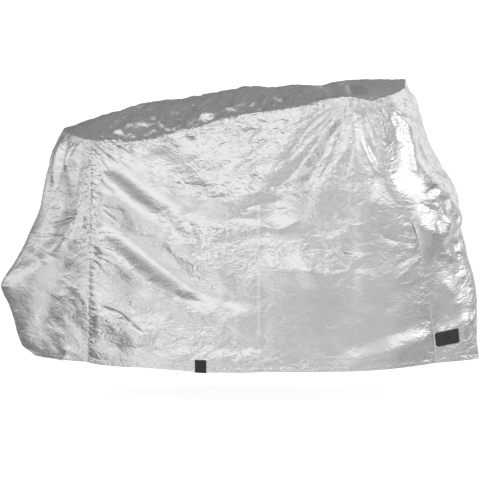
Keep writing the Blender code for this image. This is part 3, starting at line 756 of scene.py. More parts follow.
def monotone(at, rows, wanted):
    """Rows of values at rising parameters, read at the wanted ones by a cubic that never overshoots."""
    step = np.diff(at)[:, None]
    slope = np.diff(rows, axis=0) / step
    tangent = np.zeros_like(rows)
    product = slope[:-1] * slope[1:]
    mean = 2.0 * product / np.where(product > 0, slope[:-1] + slope[1:], 1.0)
    tangent[1:-1] = np.where(product > 0, mean, 0.0)
    tangent[0] = slope[0]
    tangent[-1] = slope[-1]
    cell = np.clip(np.searchsorted(at, wanted, side="right") - 1, 0, len(at) - 2)
    width = step[cell]
    t = (wanted - at[cell])[:, None] / width
    start = (2 * t**3 - 3 * t**2 + 1) * rows[cell] + (t**3 - 2 * t**2 + t) * width * tangent[cell]
    end = (3 * t**2 - 2 * t**3) * rows[cell + 1] + (t**3 - t**2) * width * tangent[cell + 1]
    return start + end


def lengths(rows):
    """Distance along a line of points to each of them."""
    return np.concatenate(([0.0], np.cumsum(np.linalg.norm(np.diff(rows, axis=0), axis=1))))


def read_along(rows, shares):
    """Rows of values read at shares of their own length."""
    rows = np.array(rows, float)
    length = lengths(rows[:, :9])
    return monotone(length, rows, shares * length[-1])


def seam_shares():
    """Shares of the way up a seam from hem to roof, closer together in the hem's band."""
    seam = lengths(np.array([section.near for section in REAR_END]))[-1]
    band = HEM_BAND / seam
    in_band = np.linspace(0.0, band, HEM_CELLS + 1)[:-1]
    return np.concatenate((in_band, np.linspace(band, 1.0, SEAM_CELLS - HEM_CELLS + 1)))


def seams_closer(count):
    """Shares from 0 to 1, closer together beside the seams at both ends."""
    return np.interp(np.linspace(0.0, 1.0, count + 1), EVEN_SHARES, CLOSER_SHARES)


def places_across():
    """The places across the strip, from -1 at the near edge to 1 at the far one."""
    return 2.0 * seams_closer(STRIP_CELLS) - 1.0


def strip_part(sections, shares):
    """A stretch of the strip: an array of points by station and place across."""
    rows = read_along([s.near + s.ridge + s.far + (s.round,) for s in sections], shares)
    across = places_across()
    soft = np.sqrt(across**2 + RIDGE_SOFTNESS**2) - RIDGE_SOFTNESS
    soft /= math.hypot(1.0, RIDGE_SOFTNESS) - RIDGE_SOFTNESS
    near, ridge, far = rows[:, None, 0:3], rows[:, None, 3:6], rows[:, None, 6:9]
    edge = np.where(across[None, :, None] < 0, near, far)
    curved = soft[None, :] ** rows[:, 9:10]
    share = np.stack((curved, np.broadcast_to(np.abs(across), curved.shape), curved), axis=-1)
    return ridge + (edge - ridge) * share


def rise(x):
    """0 to 1 with a level start and end."""
    x = np.clip(x, 0.0, 1.0)
    return x * x * (3.0 - 2.0 * x)


def fold_height(along, up, start, end, width, out):
    """How far a soft fold lifts the points at (along, up), fading to its ends and its sides."""
    start, run = np.array(start), np.subtract(end, start)
    offset = np.stack((along - start[0], up - start[1]), axis=-1)
    share = np.clip(offset @ run / (run @ run), 0.0, 1.0)
    away = np.linalg.norm(offset - share[..., None] * run, axis=-1)
    ends = rise(END_RUN * share + END_START) * rise(END_RUN * (1.0 - share) + END_START)
    return out * np.exp(-((away / width) ** 2)) * ends


def smooth_path(path):
    """A bent line through the places of a path, rounded."""
    path = np.array(path, float)
    if len(path) < 3:
        return path
    at = lengths(path)
    return monotone(at, path, np.linspace(0.0, at[-1], CREASE_STEPS * (len(path) - 1) + 1))


def crease_height(along, up, crease):
    """How far a crease lifts the points at (along, up)."""
    path = smooth_path(crease.path)
    at = lengths(path)
    reach, crest = CREASE_REACH * crease.width, CREST_SOFTNESS * crease.width
    low, high = path.min(axis=0) - reach, path.max(axis=0) + reach
    beside = (along > low[0]) & (along < high[0]) & (up > low[1]) & (up < high[1])
    places = np.stack((along[beside], up[beside]), axis=-1)
    nearest = np.full(len(places), np.inf)
    share = np.zeros(len(places))
    for k in range(len(path) - 1):
        run = path[k + 1] - path[k]
        offset = places - path[k]
        part = np.clip(offset @ run / (run @ run), 0.0, 1.0)
        away = np.linalg.norm(offset - part[:, None] * run, axis=-1)
        closer = away < nearest
        nearest = np.where(closer, away, nearest)
        share = np.where(closer, (at[k] + part * (at[k + 1] - at[k])) / at[-1], share)
    ends = rise(END_RUN * share) * rise(END_RUN * (1.0 - share))
    soft = np.sqrt(nearest**2 + crest**2) - crest
    lift = np.zeros(along.shape)
    lift[beside] = crease.out * np.exp(-((soft / crease.width) ** crease.form)) * ends
    return lift


def beyond(place, angle, distance):
    """The place at a distance from another one, in the direction of an angle."""
    return place[0] + distance * math.cos(angle), place[1] + distance * math.sin(angle)


def fan_creases(fan):
    """The creases of a fan, with uneven lengths, turns, widths and depths of its own draw."""
    draw = np.random.default_rng(fan.draw)
    creases = []
    for k in range(fan.count):
        step = k + draw.uniform(-FAN_ANGLE, FAN_ANGLE)
        turn = math.radians(fan.first + (fan.last - fan.first) * step / (fan.count - 1))
        bend = turn + draw.uniform(-FAN_BEND, FAN_BEND)
        start, run = fan.inner * draw.uniform(*FAN_STARTS), fan.reach * draw.uniform(*FAN_RUNS)
        first = beyond(fan.corner, turn, start)
        middle = beyond(first, turn, 0.5 * run)
        last = beyond(middle, bend, 0.5 * run)
        out = fan.depth * draw.uniform(*FAN_DEPTHS) * (1 if k % 2 else -1)
        width = fan.width * draw.uniform(*FAN_WIDTHS)
        creases.append(Crease((first, middle, last), width, out, FAN_FORM))
    return creases


def creases_height(along, up, creases, fans):
    """How far all the creases and fans of creases lift the points at (along, up)."""
    every = [*creases, *(crease for fan in fans for crease in fan_creases(fan))]
    return sum(crease_height(along, up, crease) for crease in every)


def in_turned_axes(along, up, degrees, sizes):
    """The points (along, up) in axes that are turned by an angle, as shares of a size along each."""
    turn = math.radians(degrees)
    a = (along * math.cos(turn) + up * math.sin(turn)) / sizes[0]
    b = (up * math.cos(turn) - along * math.sin(turn)) / sizes[1]
    return a, b


def calm_share(along, up, calms):
    """How crumpled the cloth is at the points (along, up), from 0 for smooth to 1."""
    share = np.ones(along.shape)
    for calm in calms:
        a, b = in_turned_axes(along - calm.middle[0], up - calm.middle[1], calm.turn, calm.reach)
        share *= 1.0 - calm.share * np.exp(-(a * a + b * b))
    return share


def facets(along, up, crumple):
    """A field of flat facets between sharp folds, from -1 to 1, at the points (along, up)."""
    a, b = in_turned_axes(along, up, crumple.turn, crumple.grain)
    draw = np.random.default_rng(crumple.draw)
    spans = [np.arange(int(c.min()) - FACET_MARGIN, int(c.max()) + FACET_MARGIN + 1) for c in (a, b)]
    places = np.stack(np.meshgrid(*spans), -1).reshape(-1, 2)
    places = places + draw.uniform(-FACET_UNEVEN, FACET_UNEVEN, places.shape)
    heights = draw.uniform(-1.0, 1.0, len(places))
    cut = delaunay_2d_cdt([Vector(place) for place in places], [], [], 0, SAME_CORNER)
    corners, _, triangles, sources, _, _ = cut
    relief = [(c.x, c.y, heights[s[0]]) for c, s in zip(corners, sources)]
    tree = BVHTree.FromPolygons(relief, [tuple(t) for t in triangles])
    down = Vector((0.0, 0.0, -1.0))
    found = [tree.ray_cast(Vector((x, y, ABOVE_FACETS)), down)[0].z for x, y in zip(a.ravel(), b.ravel())]
    return np.array(found).reshape(a.shape)


def crumple_height(along, up, crumples, share):
    """How far all the crumples together lift the points at (along, up)."""
    lift = np.zeros(along.shape)
    for crumple in crumples:
        reach = ((along - crumple.middle[0]) / crumple.reach[0]) ** 2
        reach += ((up - crumple.middle[1]) / crumple.reach[1]) ** 2
        lift += share * crumple.depth * np.exp(-reach) * facets(along, up, crumple)
    return lift


def gather_height(away, along, total, side):
    """Gathers beside a side's seam: short folds across it, leaning over, that fade away from it."""
    gathers, draw = GATHERS[side]
    random = np.random.default_rng(draw)
    depth = np.interp(along / total, [g.share for g in gathers], [g.depth for g in gathers])
    lift = np.zeros(along.shape)
    for size in GATHER_SIZES:
        knots = np.arange(-GATHER_MARGIN, total + GATHER_MARGIN, size.pitch)
        knots = knots + random.uniform(-GATHER_UNEVEN, GATHER_UNEVEN, len(knots)) * size.pitch
        up_and_down = np.where(np.arange(len(knots)) % 2, 1.0, -1.0)
        heights = random.uniform(GATHER_LEAST, 1.0, len(knots)) * up_and_down
        wave = np.interp(along + size.lean * away, knots, heights)
        lift += size.share * depth * wave * np.exp(-away / size.reach)
    return lift


def normals(points):
    """Unit normals of a grid of points, by its own differences, away from the cover's middle."""
    across = np.cross(np.gradient(points, axis=0), np.gradient(points, axis=1))
    across /= np.linalg.norm(across, axis=-1)[..., None]
    outward = ((points - MIDDLE) * across).sum()
    return across if outward > 0 else -across


# The sheets as grids of points


def panel_base(side, rear, roof, front):
    """A side panel between its seams and the hem, before it is folded: points by place along and up."""
    edge = 0 if side < 0 else -1
    left, crown, right = rear[:, edge], roof[:, edge], front[:, edge]
    rows = np.array([(hem.x, side * hem.out, hem.height) for hem in HEM])
    hem = read_along(rows, seams_closer(PANEL_CELLS))
    hem[0], hem[-1] = left[0], right[0]
    s = seams_closer(PANEL_CELLS)[:, None, None]
    t = seam_shares()[None, :, None]
    points = (1 - s) * left[None] + s * right[None] + (1 - t) * hem[:, None] + t * crown[:, None]
    points -= (1 - t) * ((1 - s) * left[0] + s * right[0]) + t * ((1 - s) * left[-1] + s * right[-1])
    return points


def fold_strip(points, folds):
    """Lifts a stretch of the strip by its main folds, square to its surface and outwards."""
    middle = STRIP_CELLS // 2
    length = lengths(points[:, middle])
    half = np.linalg.norm(points[:, 0] - points[:, middle], axis=1).mean()
    up = length[:, None] * np.ones(STRIP_CELLS + 1)
    across = places_across()[None, :] * np.ones((len(points), 1))
    lift = np.zeros(up.shape)
    for fold in folds:
        start = (fold.up0 * length[-1], fold.across0 * half)
        end = (fold.up1 * length[-1], fold.across1 * half)
        lift += fold_height(up, across * half, start, end, fold.width, fold.out)
    lift *= rise((1.0 - np.abs(across)) * STRIP_FADE)
    return points + normals(points) * lift[..., None]


def strip_and_parts():
    """The folded strip in one piece, and its three stretches before they are folded."""
    rear = strip_part(REAR_END, seam_shares())
    roof = strip_part(ROOF, seams_closer(ROOF_CELLS))
    front = strip_part(FRONT_END, seam_shares())
    folded = [fold_strip(*pair) for pair in ((rear, REAR_FOLDS), (roof, ROOF_FOLDS), (front, FRONT_FOLDS))]
    strip = np.concatenate((folded[0][:-1], folded[1], folded[2][-2::-1]))
    strip[SEAM_CELLS] = (folded[0][-1] + folded[1][0]) / 2.0
    strip[SEAM_CELLS + ROOF_CELLS] = (folded[1][-1] + folded[2][-1]) / 2.0
    return strip, (rear, roof, front)


def away_from(points, axis):
    """How far each point of a grid is from its first row along one axis, along the cloth."""
    steps = np.linalg.norm(np.diff(points, axis=axis), axis=-1)
    return np.concatenate((np.zeros_like(np.take(steps, [0], axis)), np.cumsum(steps, axis=axis)), axis=axis)


def seam_lines(strip, side):
    """Where a seam runs, with the gathers in it, and how far along it each place is."""
    edge, inner = (0, 1) if side < 0 else (-1, -2)
    line = strip[:, edge]
    along = lengths(line)
    wave = gather_height(np.zeros(len(line)), along, along[-1], side)
    out = normals(strip)[:, edge] + (line - strip[:, inner]) / SEAM_TILT
    out /= np.linalg.norm(out, axis=1)[:, None]
    return along, wave, out


def draw_to(points, line, axis, reach):
    """Draws the first row of a grid along one axis on to a line, and what is near it with it."""
    away = away_from(points, axis)
    gap = line - np.take(points, 0, axis)
    return points + np.expand_dims(gap, axis) * np.exp(-away / reach)[..., None]


def hem_band(from_hem, depth):
    """Where a hem's stitch line pulls the cloth in, and how far the crumples are held flat beside it."""
    groove = np.exp(-(((from_hem - depth) / HEM_GROOVE_WIDTH) ** 2))
    held = HEM_CRUMPLES + (1.0 - HEM_CRUMPLES) * rise((from_hem - depth) / HEM_CRUMPLES_BACK)
    return groove, held


def dress_strip(sizes):
    """The strip with all its folds and how crumpled it is, its seams, and what the panels are cut from."""
    strip, parts = strip_and_parts()
    middle = STRIP_CELLS // 2
    along = away_from(strip, 0)[:, middle : middle + 1] * np.ones(STRIP_CELLS + 1)
    from_near = away_from(strip, 1)
    from_far = from_near[:, -1:] - from_near
    across = from_near - from_near[:, middle : middle + 1]
    crumpled = calm_share(along, across, STRIP_CALMS)
    lift = crumpled * crumple_height(along, across, STRIP_CRUMPLES, sizes.crumple)
    near_side = rise((END_CREASES_STOP - places_across()[None, :]) / END_CREASES_FADE)
    stations = np.arange(len(strip))
    rear, front = stations < SEAM_CELLS, stations > SEAM_CELLS + ROOF_CELLS
    roof = ~rear & ~front
    for creases, fans, part, up in (
        (REAR_CREASES, REAR_FANS, rear, 2),
        (ROOF_CREASES, ROOF_FANS, roof, 1),
        (FRONT_CREASES, FRONT_FANS, front, 2),
    ):
        points = strip[part]
        height = creases_height(points[..., 0], points[..., up], creases, fans)
        lift[part] += height if up == 1 else height * near_side
    hem = np.minimum(away_from(strip, 0), away_from(strip[::-1], 0)[::-1])
    groove, held = hem_band(hem, sizes.hem_depth)
    lift = lift * held - HEM_GROOVE * groove
    out = normals(strip)
    seams = []
    for side, away in ((-1, from_near), (1, from_far)):
        length, wave, seam_out = seam_lines(strip, side)
        lift += gather_height(away, length[:, None] * np.ones(STRIP_CELLS + 1), length[-1], side)
        edge = strip[:, 0 if side < 0 else -1]
        seams.append((edge + seam_out * (wave - sizes.seam_dip)[:, None], length))
    dressed = strip + out * lift[..., None]
    dressed = draw_to(dressed, seams[0][0], 1, SEAM_REACH)
    dressed = draw_to(dressed[:, ::-1], seams[1][0], 1, SEAM_REACH)[:, ::-1]
    return (dressed, crumpled), seams, parts


def three_runs(seam):
    """A seam in three runs: up the rear end, along the roof and up the front end."""
    front = SEAM_CELLS + ROOF_CELLS
    return seam[: SEAM_CELLS + 1], seam[SEAM_CELLS : front + 1], seam[front:][::-1]


def dress_panel(side, seam, parts, sizes):
    """A panel with all its folds, drawn on to the strip's seam, and how crumpled it is."""
    relief = PANELS[side]
    points = panel_base(side, *parts)
    x, z = points[..., 0], points[..., 2]
    from_rear, from_hem = away_from(points, 0), away_from(points, 1)
    from_front, from_top = from_rear[-1:] - from_rear, from_hem[:, -1:] - from_hem
    from_side = np.minimum(from_rear, from_front)
    main = sum(fold_height(x, z, (f.x0, f.z0), (f.x1, f.z1), f.width, f.out) for f in relief.folds)
    main *= rise(np.minimum(from_side / FADE_AT_SIDE, from_top / FADE_AT_TOP))
    points[..., 1] += side * main
    crumpled = calm_share(x, z, relief.calms)
    lift = crumpled * crumple_height(x, z, relief.crumples, sizes.crumple)
    lift += creases_height(x, z, relief.creases, relief.fans)
    groove, held = hem_band(from_hem, sizes.hem_depth)
    lift = lift * held - HEM_GROOVE * groove
    line, at = seam
    rear, top, front = three_runs(at)
    for away, run in ((from_rear, rear[None, :]), (from_front, front[None, :]), (from_top, top[:, None])):
        lift += gather_height(away, run * np.ones(x.shape), at[-1], side)
    points = points + normals(points) * lift[..., None]
    rear, top, front = three_runs(line)
    points = draw_to(points, rear, 0, SEAM_REACH)
    points = draw_to(points[::-1], front, 0, SEAM_REACH)[::-1]
    return draw_to(points[:, ::-1], top, 1, SEAM_REACH)[:, ::-1], crumpled


def hem_rows(points, out, depth):
    """The rows of a hem turned up inside, before the first row of the second axis."""
    from_hem = away_from(points, 1).mean(axis=0)
    inner = [k for k in HEM_INNER_ROWS if from_hem[k] <= depth + HEM_INNER_EDGE]
    rows = [points[:, k] - HEM_LAYER * out[:, k] for k in inner]
    down = points[:, 0] - points[:, 1]
    down /= np.linalg.norm(down, axis=1)[:, None]
    for low, deep in HEM_FOLD_ROWS:
        rows.append(points[:, 0] + HEM_LAYER * (low * down - deep * out[:, 0]))
    return np.stack(rows, axis=1)


def lip_rows(points, out, allowance):
    """The rows of a seam allowance turned in, after the last row of the second axis."""
    away = points[:, -1] - points[:, -2]
    away /= np.linalg.norm(away, axis=1)[:, None]
    rows = []
    for deep, back in ALLOWANCE_ROWS:
        rows.append(points[:, -1] - deep * allowance * out[:, -1] - back * allowance * away)
    return np.stack(rows, axis=1)


def extend(points, out, before, after):
    """A grid with rows before and after its second axis, and its normals kept beside it."""
    extended = np.concatenate((before, points, after), axis=1)
    first = np.repeat(out[:, :1], before.shape[1], axis=1)
    last = np.repeat(out[:, -1:], after.shape[1], axis=1)
    return extended, np.concatenate((first, out, last), axis=1)


def turned(*grids):
    """Grids with their two axes changed over."""
    return [grid.transpose(1, 0, 2) for grid in grids]


def sewn_panel(points, sizes):
    """A panel with its hem turned up and its seam allowances turned in."""
    out = normals(points)
    before = hem_rows(points, out, sizes.hem_depth)
    points, out = extend(points, out, before, lip_rows(points, out, sizes.seam_allowance))
    points, out = turned(points, out)
    before = lip_rows(points[:, ::-1], out[:, ::-1], sizes.seam_allowance)[:, ::-1]
    points, out = extend(points, out, before, lip_rows(points, out, sizes.seam_allowance))
    return turned(points)[0]


def sewn_strip(points, sizes):
    """The strip with a seam allowance along each edge and a hem at each end."""
    out = normals(points)
    before = lip_rows(points[:, ::-1], out[:, ::-1], sizes.seam_allowance)[:, ::-1]
    points, out = extend(points, out, before, lip_rows(points, out, sizes.seam_allowance))
    points, out = turned(points, out)
    before = hem_rows(points, out, sizes.hem_depth)
    after = hem_rows(points[:, ::-1], out[:, ::-1], sizes.hem_depth)[:, ::-1]
    points, out = extend(points, out, before, after)
    return turned(points)[0]


# Meshes


def in_frame(points):
    """Places above the ground as places in the part's frame."""
    return points - np.array((0.0, 0.0, MOUNT_HEIGHT))


def grid_faces(columns, rows, outward):
    """The cells of a grid of points, numbered row by row, wound so that they face outwards."""
    i, j = np.meshgrid(np.arange(columns - 1), np.arange(rows - 1), indexing="ij")
    first = (i * rows + j).ravel()
    cells = np.stack((first, first + rows, first + rows + 1, first + 1), axis=1)
    return cells if outward else cells[:, ::-1]


def faces_out(points):
    """Whether a grid's cells face outwards in their own order."""
    across = np.cross(np.gradient(points, axis=0), np.gradient(points, axis=1))
    return ((points - MIDDLE) * across).sum() > 0


def mesh_object(name, points, faces, finish):
    """One object from points above the ground and faces of four corners, riding on the cover's body."""
    mesh = bpy.data.meshes.new(name)
    places = in_frame(points.reshape(-1, 3)).astype(np.float32)
    mesh.vertices.add(len(places))
    mesh.vertices.foreach_set("co", places.ravel())
    mesh.loops.add(faces.size)
    mesh.loops.foreach_set("vertex_index", faces.ravel().astype(np.int32))
    mesh.polygons.add(len(faces))
    mesh.polygons.foreach_set("loop_start", np.arange(0, faces.size, 4, dtype=np.int32))
    mesh.update(calc_edges=True)
    mesh.validate()
    mesh.materials.append(finish)
    mesh.shade_smooth()
    piece = bpy.data.objects.new(name, mesh)
    bpy.context.scene.collection.objects.link(piece)
    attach(piece, "root")
    return piece


def spread_over(values, shape):
    """A value at each point of a cut sheet, spread over the rows that were turned in when it was sewn."""
    before = [(max(size - own - TURNED_IN, TURNED_IN), 0) for size, own in zip(shape, values.shape)]
    spread = np.pad(values, before, mode="edge")
    after = [(0, size - own) for size, own in zip(shape, spread.shape)]
    return np.pad(spread, after, mode="edge")


def sheet_object(name, points, finish, crumpled=None):
    """A sheet from a grid of points, with the cloth's own lengths as its UV map."""
    columns, rows = points.shape[:2]
    faces = grid_faces(columns, rows, faces_out(points))
    piece = mesh_object(name, points, faces, finish)
    flat = np.stack((away_from(points, 0), away_from(points, 1)), axis=-1).reshape(-1, 2)
    layer = piece.data.uv_layers.new(name="cloth")
    layer.data.foreach_set("uv", flat[faces.ravel()].astype(np.float32).ravel())
    if crumpled is not None:
        values = piece.data.attributes.new("crumpled", "FLOAT", "POINT")
        values.data.foreach_set("value", spread_over(crumpled, points.shape).astype(np.float32).ravel())
    return piece


def read_line(rows, at, wanted):
    """Rows of values at rising places, read at the wanted ones straight between them."""
    return np.stack([np.interp(wanted, at, column) for column in rows.T], axis=1)


def bar_cells(rings):
    """The cells of a bar made of rings of four corners, closed at both ends."""
    cells = []
    for first in range(0, 4 * (rings - 1), 4):
        for k in range(4):
            after = (k + 1) % 4
            cells.append((first + k, first + after, first + 4 + after, first + 4 + k))
    last = 4 * (rings - 1)
    return np.array([*cells, (3, 2, 1, 0), (last, last + 1, last + 2, last + 3)])


def stitches(name, lines, pitch, radius, finish):
    """Stitches along lines of places and outward directions, as one object: short, low, tapered bars."""
    all_points, all_faces, count = [], [], 0
    cells, corners = bar_cells(len(STITCH_RINGS)), 4 * len(STITCH_RINGS)
    for places, out in lines:
        at = lengths(places)
        middles = np.arange(0.5 * pitch, at[-1], pitch)
        centre = read_line(places, at, middles)
        outwards = read_line(out, at, middles)
        way = read_line(places, at, middles + STITCH_AIM * pitch) - centre
        way /= np.linalg.norm(way, axis=1)[:, None] + 1e-12
        outwards -= (outwards * way).sum(axis=1)[:, None] * way
        outwards /= np.linalg.norm(outwards, axis=1)[:, None]
        sideways = np.cross(way, outwards)
        bar = []
        for place, swell in STITCH_RINGS:
            ring = centre + place * STITCH_LENGTH * pitch * way - (1.0 - swell) * radius * outwards
            for angle in STITCH_CORNERS:
                spin = math.cos(angle * math.pi) * sideways + math.sin(angle * math.pi) * outwards
                bar.append(ring + swell * radius * spin)
        points = np.stack(bar, axis=1)
        starts = count + corners * np.arange(len(middles))[:, None, None]
        all_faces.append((starts + cells[None]).reshape(-1, 4))
        all_points.append(points.reshape(-1, 3))
        count += corners * len(middles)
    return mesh_object(name, np.concatenate(all_points), np.concatenate(all_faces)[:, ::-1], finish)


# Materials

# The sockets of a mix node that mixes colours
MIX_SHARE, MIX_FIRST, MIX_SECOND, MIX_RESULT = 0, 6, 7, 2


def node(tree, kind, settings=None, **inputs):
    """A node with its settings and inputs: a socket is linked, and any other value is set."""
    made = tree.nodes.new(kind)
    for name, value in (settings or {}).items():
        setattr(made, name, value)
    for name, value in inputs.items():
        key = int(name[1:]) if name[1:].isdigit() else name.replace("_", " ")
        socket = made.inputs[key]
        if isinstance(value, bpy.types.NodeSocket):
            tree.links.new(value, socket)
        else:
            socket.default_value = value
    return made


def math_node(tree, operation, *values):
    """What a math node makes of its values."""
    inputs = {f"_{k}": value for k, value in enumerate(values)}
    return node(tree, "ShaderNodeMath", {"operation": operation}, **inputs).outputs[0]


def ramp(tree, value, *stops):
    """A colour ramp of greys: stops are (place, grey)."""
    made = node(tree, "ShaderNodeValToRGB", None, Fac=value)
    points = made.color_ramp.elements
    while len(points) < len(stops):
        points.new(0.5)
    for point, (place, grey) in zip(points, stops):
        point.position = place
        point.color = (grey, grey, grey, 1.0)
    return made.outputs["Color"]


def group(name, inputs, outputs):
    """A new shader node group with number inputs, and its input and output nodes."""
    tree = bpy.data.node_groups.new(name, "ShaderNodeTree")
    for socket, value in inputs.items():
        tree.interface.new_socket(socket, in_out="INPUT", socket_type="NodeSocketFloat").default_value = value
    for socket in outputs:
        tree.interface.new_socket(socket, in_out="OUTPUT", socket_type="NodeSocketFloat")
    return tree, tree.nodes.new("NodeGroupInput"), tree.nodes.new("NodeGroupOutput")


def wrinkle_group():
    """Fine wrinkles of coated cloth, as a height and as a mask of the worn crests."""
    inputs = {"Scale": 1.0, "Stretch": 1.0, "Seed": 0.0}
    tree, given, out = group("fine_wrinkles", inputs, ("Height", "Crests"))
    place = node(tree, "ShaderNodeTexCoord").outputs["Object"]
    stretch = node(tree, "ShaderNodeCombineXYZ", None, X=1.0, Y=1.0, Z=given.outputs["Stretch"]).outputs[0]
    moved, seed = place, given.outputs["Seed"]
    for operation, other in (("MULTIPLY", stretch), ("ADD", seed)):
        moved = node(tree, "ShaderNodeVectorMath", {"operation": operation}, _0=moved, _1=other).outputs[0]
    folds, height = [], 0.0
    for size in WRINKLES:
        scale = math_node(tree, "MULTIPLY", given.outputs["Scale"], size.scale)
        noise = node(tree, "ShaderNodeTexNoise", None, Vector=moved, Scale=scale, Detail=size.detail)
        noise.inputs["Roughness"].default_value = WRINKLE_ROUGHNESS
        noise.inputs["Distortion"].default_value = size.bent
        away = math_node(tree, "ABSOLUTE", math_node(tree, "SUBTRACT", noise.outputs["Fac"], 0.5))
        folds.append(math_node(tree, "SUBTRACT", 0.5, away))
        height = math_node(tree, "MULTIPLY_ADD", folds[-1], size.share, height)
    crests = math_node(tree, "POWER", math_node(tree, "MULTIPLY", folds[1], 2.0), CREST_SHARPNESS)
    tree.links.new(height, out.inputs["Height"])
    tree.links.new(crests, out.inputs["Crests"])
    return tree


def weave_group():
    """A plain weave along the cloth's own threads, as a height."""
    tree, given, out = group("plain_weave", {"Threads per metre": 1400.0}, ("Height",))
    along = node(tree, "ShaderNodeUVMap", {"uv_map": "cloth"}).outputs[0]
    split = node(tree, "ShaderNodeSeparateXYZ", None, Vector=along)
    waves = []
    for axis in ("X", "Y"):
        turns = math_node(tree, "MULTIPLY", split.outputs[axis], given.outputs["Threads per metre"])
        waves.append(math_node(tree, "SINE", math_node(tree, "MULTIPLY", turns, math.tau)))
    crossed = math_node(tree, "MULTIPLY", waves[0], waves[1])
    tree.links.new(math_node(tree, "MULTIPLY_ADD", crossed, 0.5, 0.5), out.inputs["Height"])
    return tree


def smudge_group():
    """Broad uneven tone, as from handling and packing."""
    tree, given, out = group("smudges", {"Scale": 1.0}, ("Tone",))
    place = node(tree, "ShaderNodeTexCoord").outputs["Object"]
    scale = math_node(tree, "MULTIPLY", given.outputs["Scale"], SMUDGES)
    noise = node(tree, "ShaderNodeTexNoise", None, Vector=place, Scale=scale, Detail=5.0, Roughness=0.6)
    noise.inputs["Distortion"].default_value = 0.4
    tree.links.new(noise.outputs["Fac"], out.inputs["Tone"])
    return tree


def shared_group(name, build):
    """A node group that is built once and then found by its name."""
    return bpy.data.node_groups.get(name) or build()


def placed(tree, group_tree, **inputs):
    """A node group placed in a material with its own values."""
    made = tree.nodes.new("ShaderNodeGroup")
    made.node_tree = group_tree
    for name, value in inputs.items():
        made.inputs[name.replace("_", " ")].default_value = value
    return made


def empty_material(name):
    """A new material, its tree and its shader."""
    made = bpy.data.materials.new(name)
    made.use_nodes = True
    return made, made.node_tree, made.node_tree.nodes["Principled BSDF"]


def mix_colours(tree, share, first, second):
    """Colours mixed by a share: each is a socket or three numbers."""
    made = node(tree, "ShaderNodeMix", {"data_type": "RGBA"})
    for place, value in ((MIX_SHARE, share), (MIX_FIRST, first), (MIX_SECOND, second)):
        socket = made.inputs[place]
        if isinstance(value, bpy.types.NodeSocket):
            tree.links.new(value, socket)
        elif socket.type == "RGBA":
            socket.default_value = (*value, 1.0)
        else:
            socket.default_value = value
    return made.outputs[MIX_RESULT]


def bumped(tree, shader, height, strength, distance):
    """Gives a shader a bump by a height."""
    bump = node(tree, "ShaderNodeBump", None, Height=height, Strength=strength, Distance=distance)
    tree.links.new(bump.outputs[0], shader.inputs["Normal"])


def silver_cloth(colours):
    """Polyester cloth with a silver coat outside and none inside."""
    made, tree, shader = empty_material("silver_coated_cloth")
    silver, inside = np.array(colours.silver), tuple(colours.inside)
    wrinkles = placed(tree, shared_group("fine_wrinkles", wrinkle_group), Scale=1.0, Stretch=WRINKLE_STRETCH)
    weave = placed(tree, shared_group("plain_weave", weave_group))
    smudges = placed(tree, shared_group("smudges", smudge_group), Scale=1.0)
    behind = node(tree, "ShaderNodeNewGeometry").outputs["Backfacing"]
    tone = ramp(tree, smudges.outputs["Tone"], (0.30, 0.0), (0.70, 1.0))
    coat = mix_colours(tree, tone, tuple(silver * COAT_CLEAN), tuple(silver))
    worn = math_node(tree, "MULTIPLY", wrinkles.outputs["Crests"], CRESTS_WORN)
    coat = mix_colours(tree, worn, coat, tuple(silver * COAT_WORN))
    tree.links.new(mix_colours(tree, behind, coat, inside), shader.inputs["Base Color"])
    metallic = math_node(tree, "MULTIPLY_ADD", behind, -COAT_METALLIC, COAT_METALLIC)
    tree.links.new(metallic, shader.inputs["Metallic"])
    rough = math_node(tree, "MULTIPLY_ADD", smudges.outputs["Tone"], COAT_SMUDGED, COAT_ROUGHNESS)
    rough = math_node(tree, "MAXIMUM", rough, math_node(tree, "MULTIPLY", behind, INSIDE_ROUGHNESS))
    tree.links.new(rough, shader.inputs["Roughness"])
    crumpled = node(tree, "ShaderNodeAttribute", {"attribute_name": "crumpled"}).outputs["Fac"]
    height = math_node(tree, "MULTIPLY", wrinkles.outputs["Height"], crumpled)
    coarse = node(tree, "ShaderNodeBump", None, Height=height, Strength=1.0, Distance=WRINKLE_DEPTH)
    fine = node(tree, "ShaderNodeBump", None, Height=weave.outputs["Height"], Normal=coarse.outputs[0])
    fine.inputs["Strength"].default_value = WEAVE_STRENGTH
    fine.inputs["Distance"].default_value = WEAVE_DEPTH
    tree.links.new(fine.outputs[0], shader.inputs["Normal"])
    return made


def black_webbing(colours):
    """Woven webbing: ribs across, matt black, a little grey on its raised threads."""
    made, tree, shader = empty_material("black_webbing")
    webbing = np.array(colours.webbing)
    weave = placed(tree, shared_group("plain_weave", weave_group), Threads_per_metre=420.0)
    smudges = placed(tree, shared_group("smudges", smudge_group), Scale=9.0)
    worn = math_node(tree, "MULTIPLY", weave.outputs["Height"], smudges.outputs["Tone"])
    colour = mix_colours(tree, worn, tuple(webbing), tuple(webbing * WEBBING_RAISED))
    tree.links.new(colour, shader.inputs["Base Color"])
    shader.inputs["Roughness"].default_value = 0.82
    shader.inputs["Sheen Weight"].default_value = 0.15
    bumped(tree, shader, weave.outputs["Height"], strength=0.8, distance=0.0005)
    return made


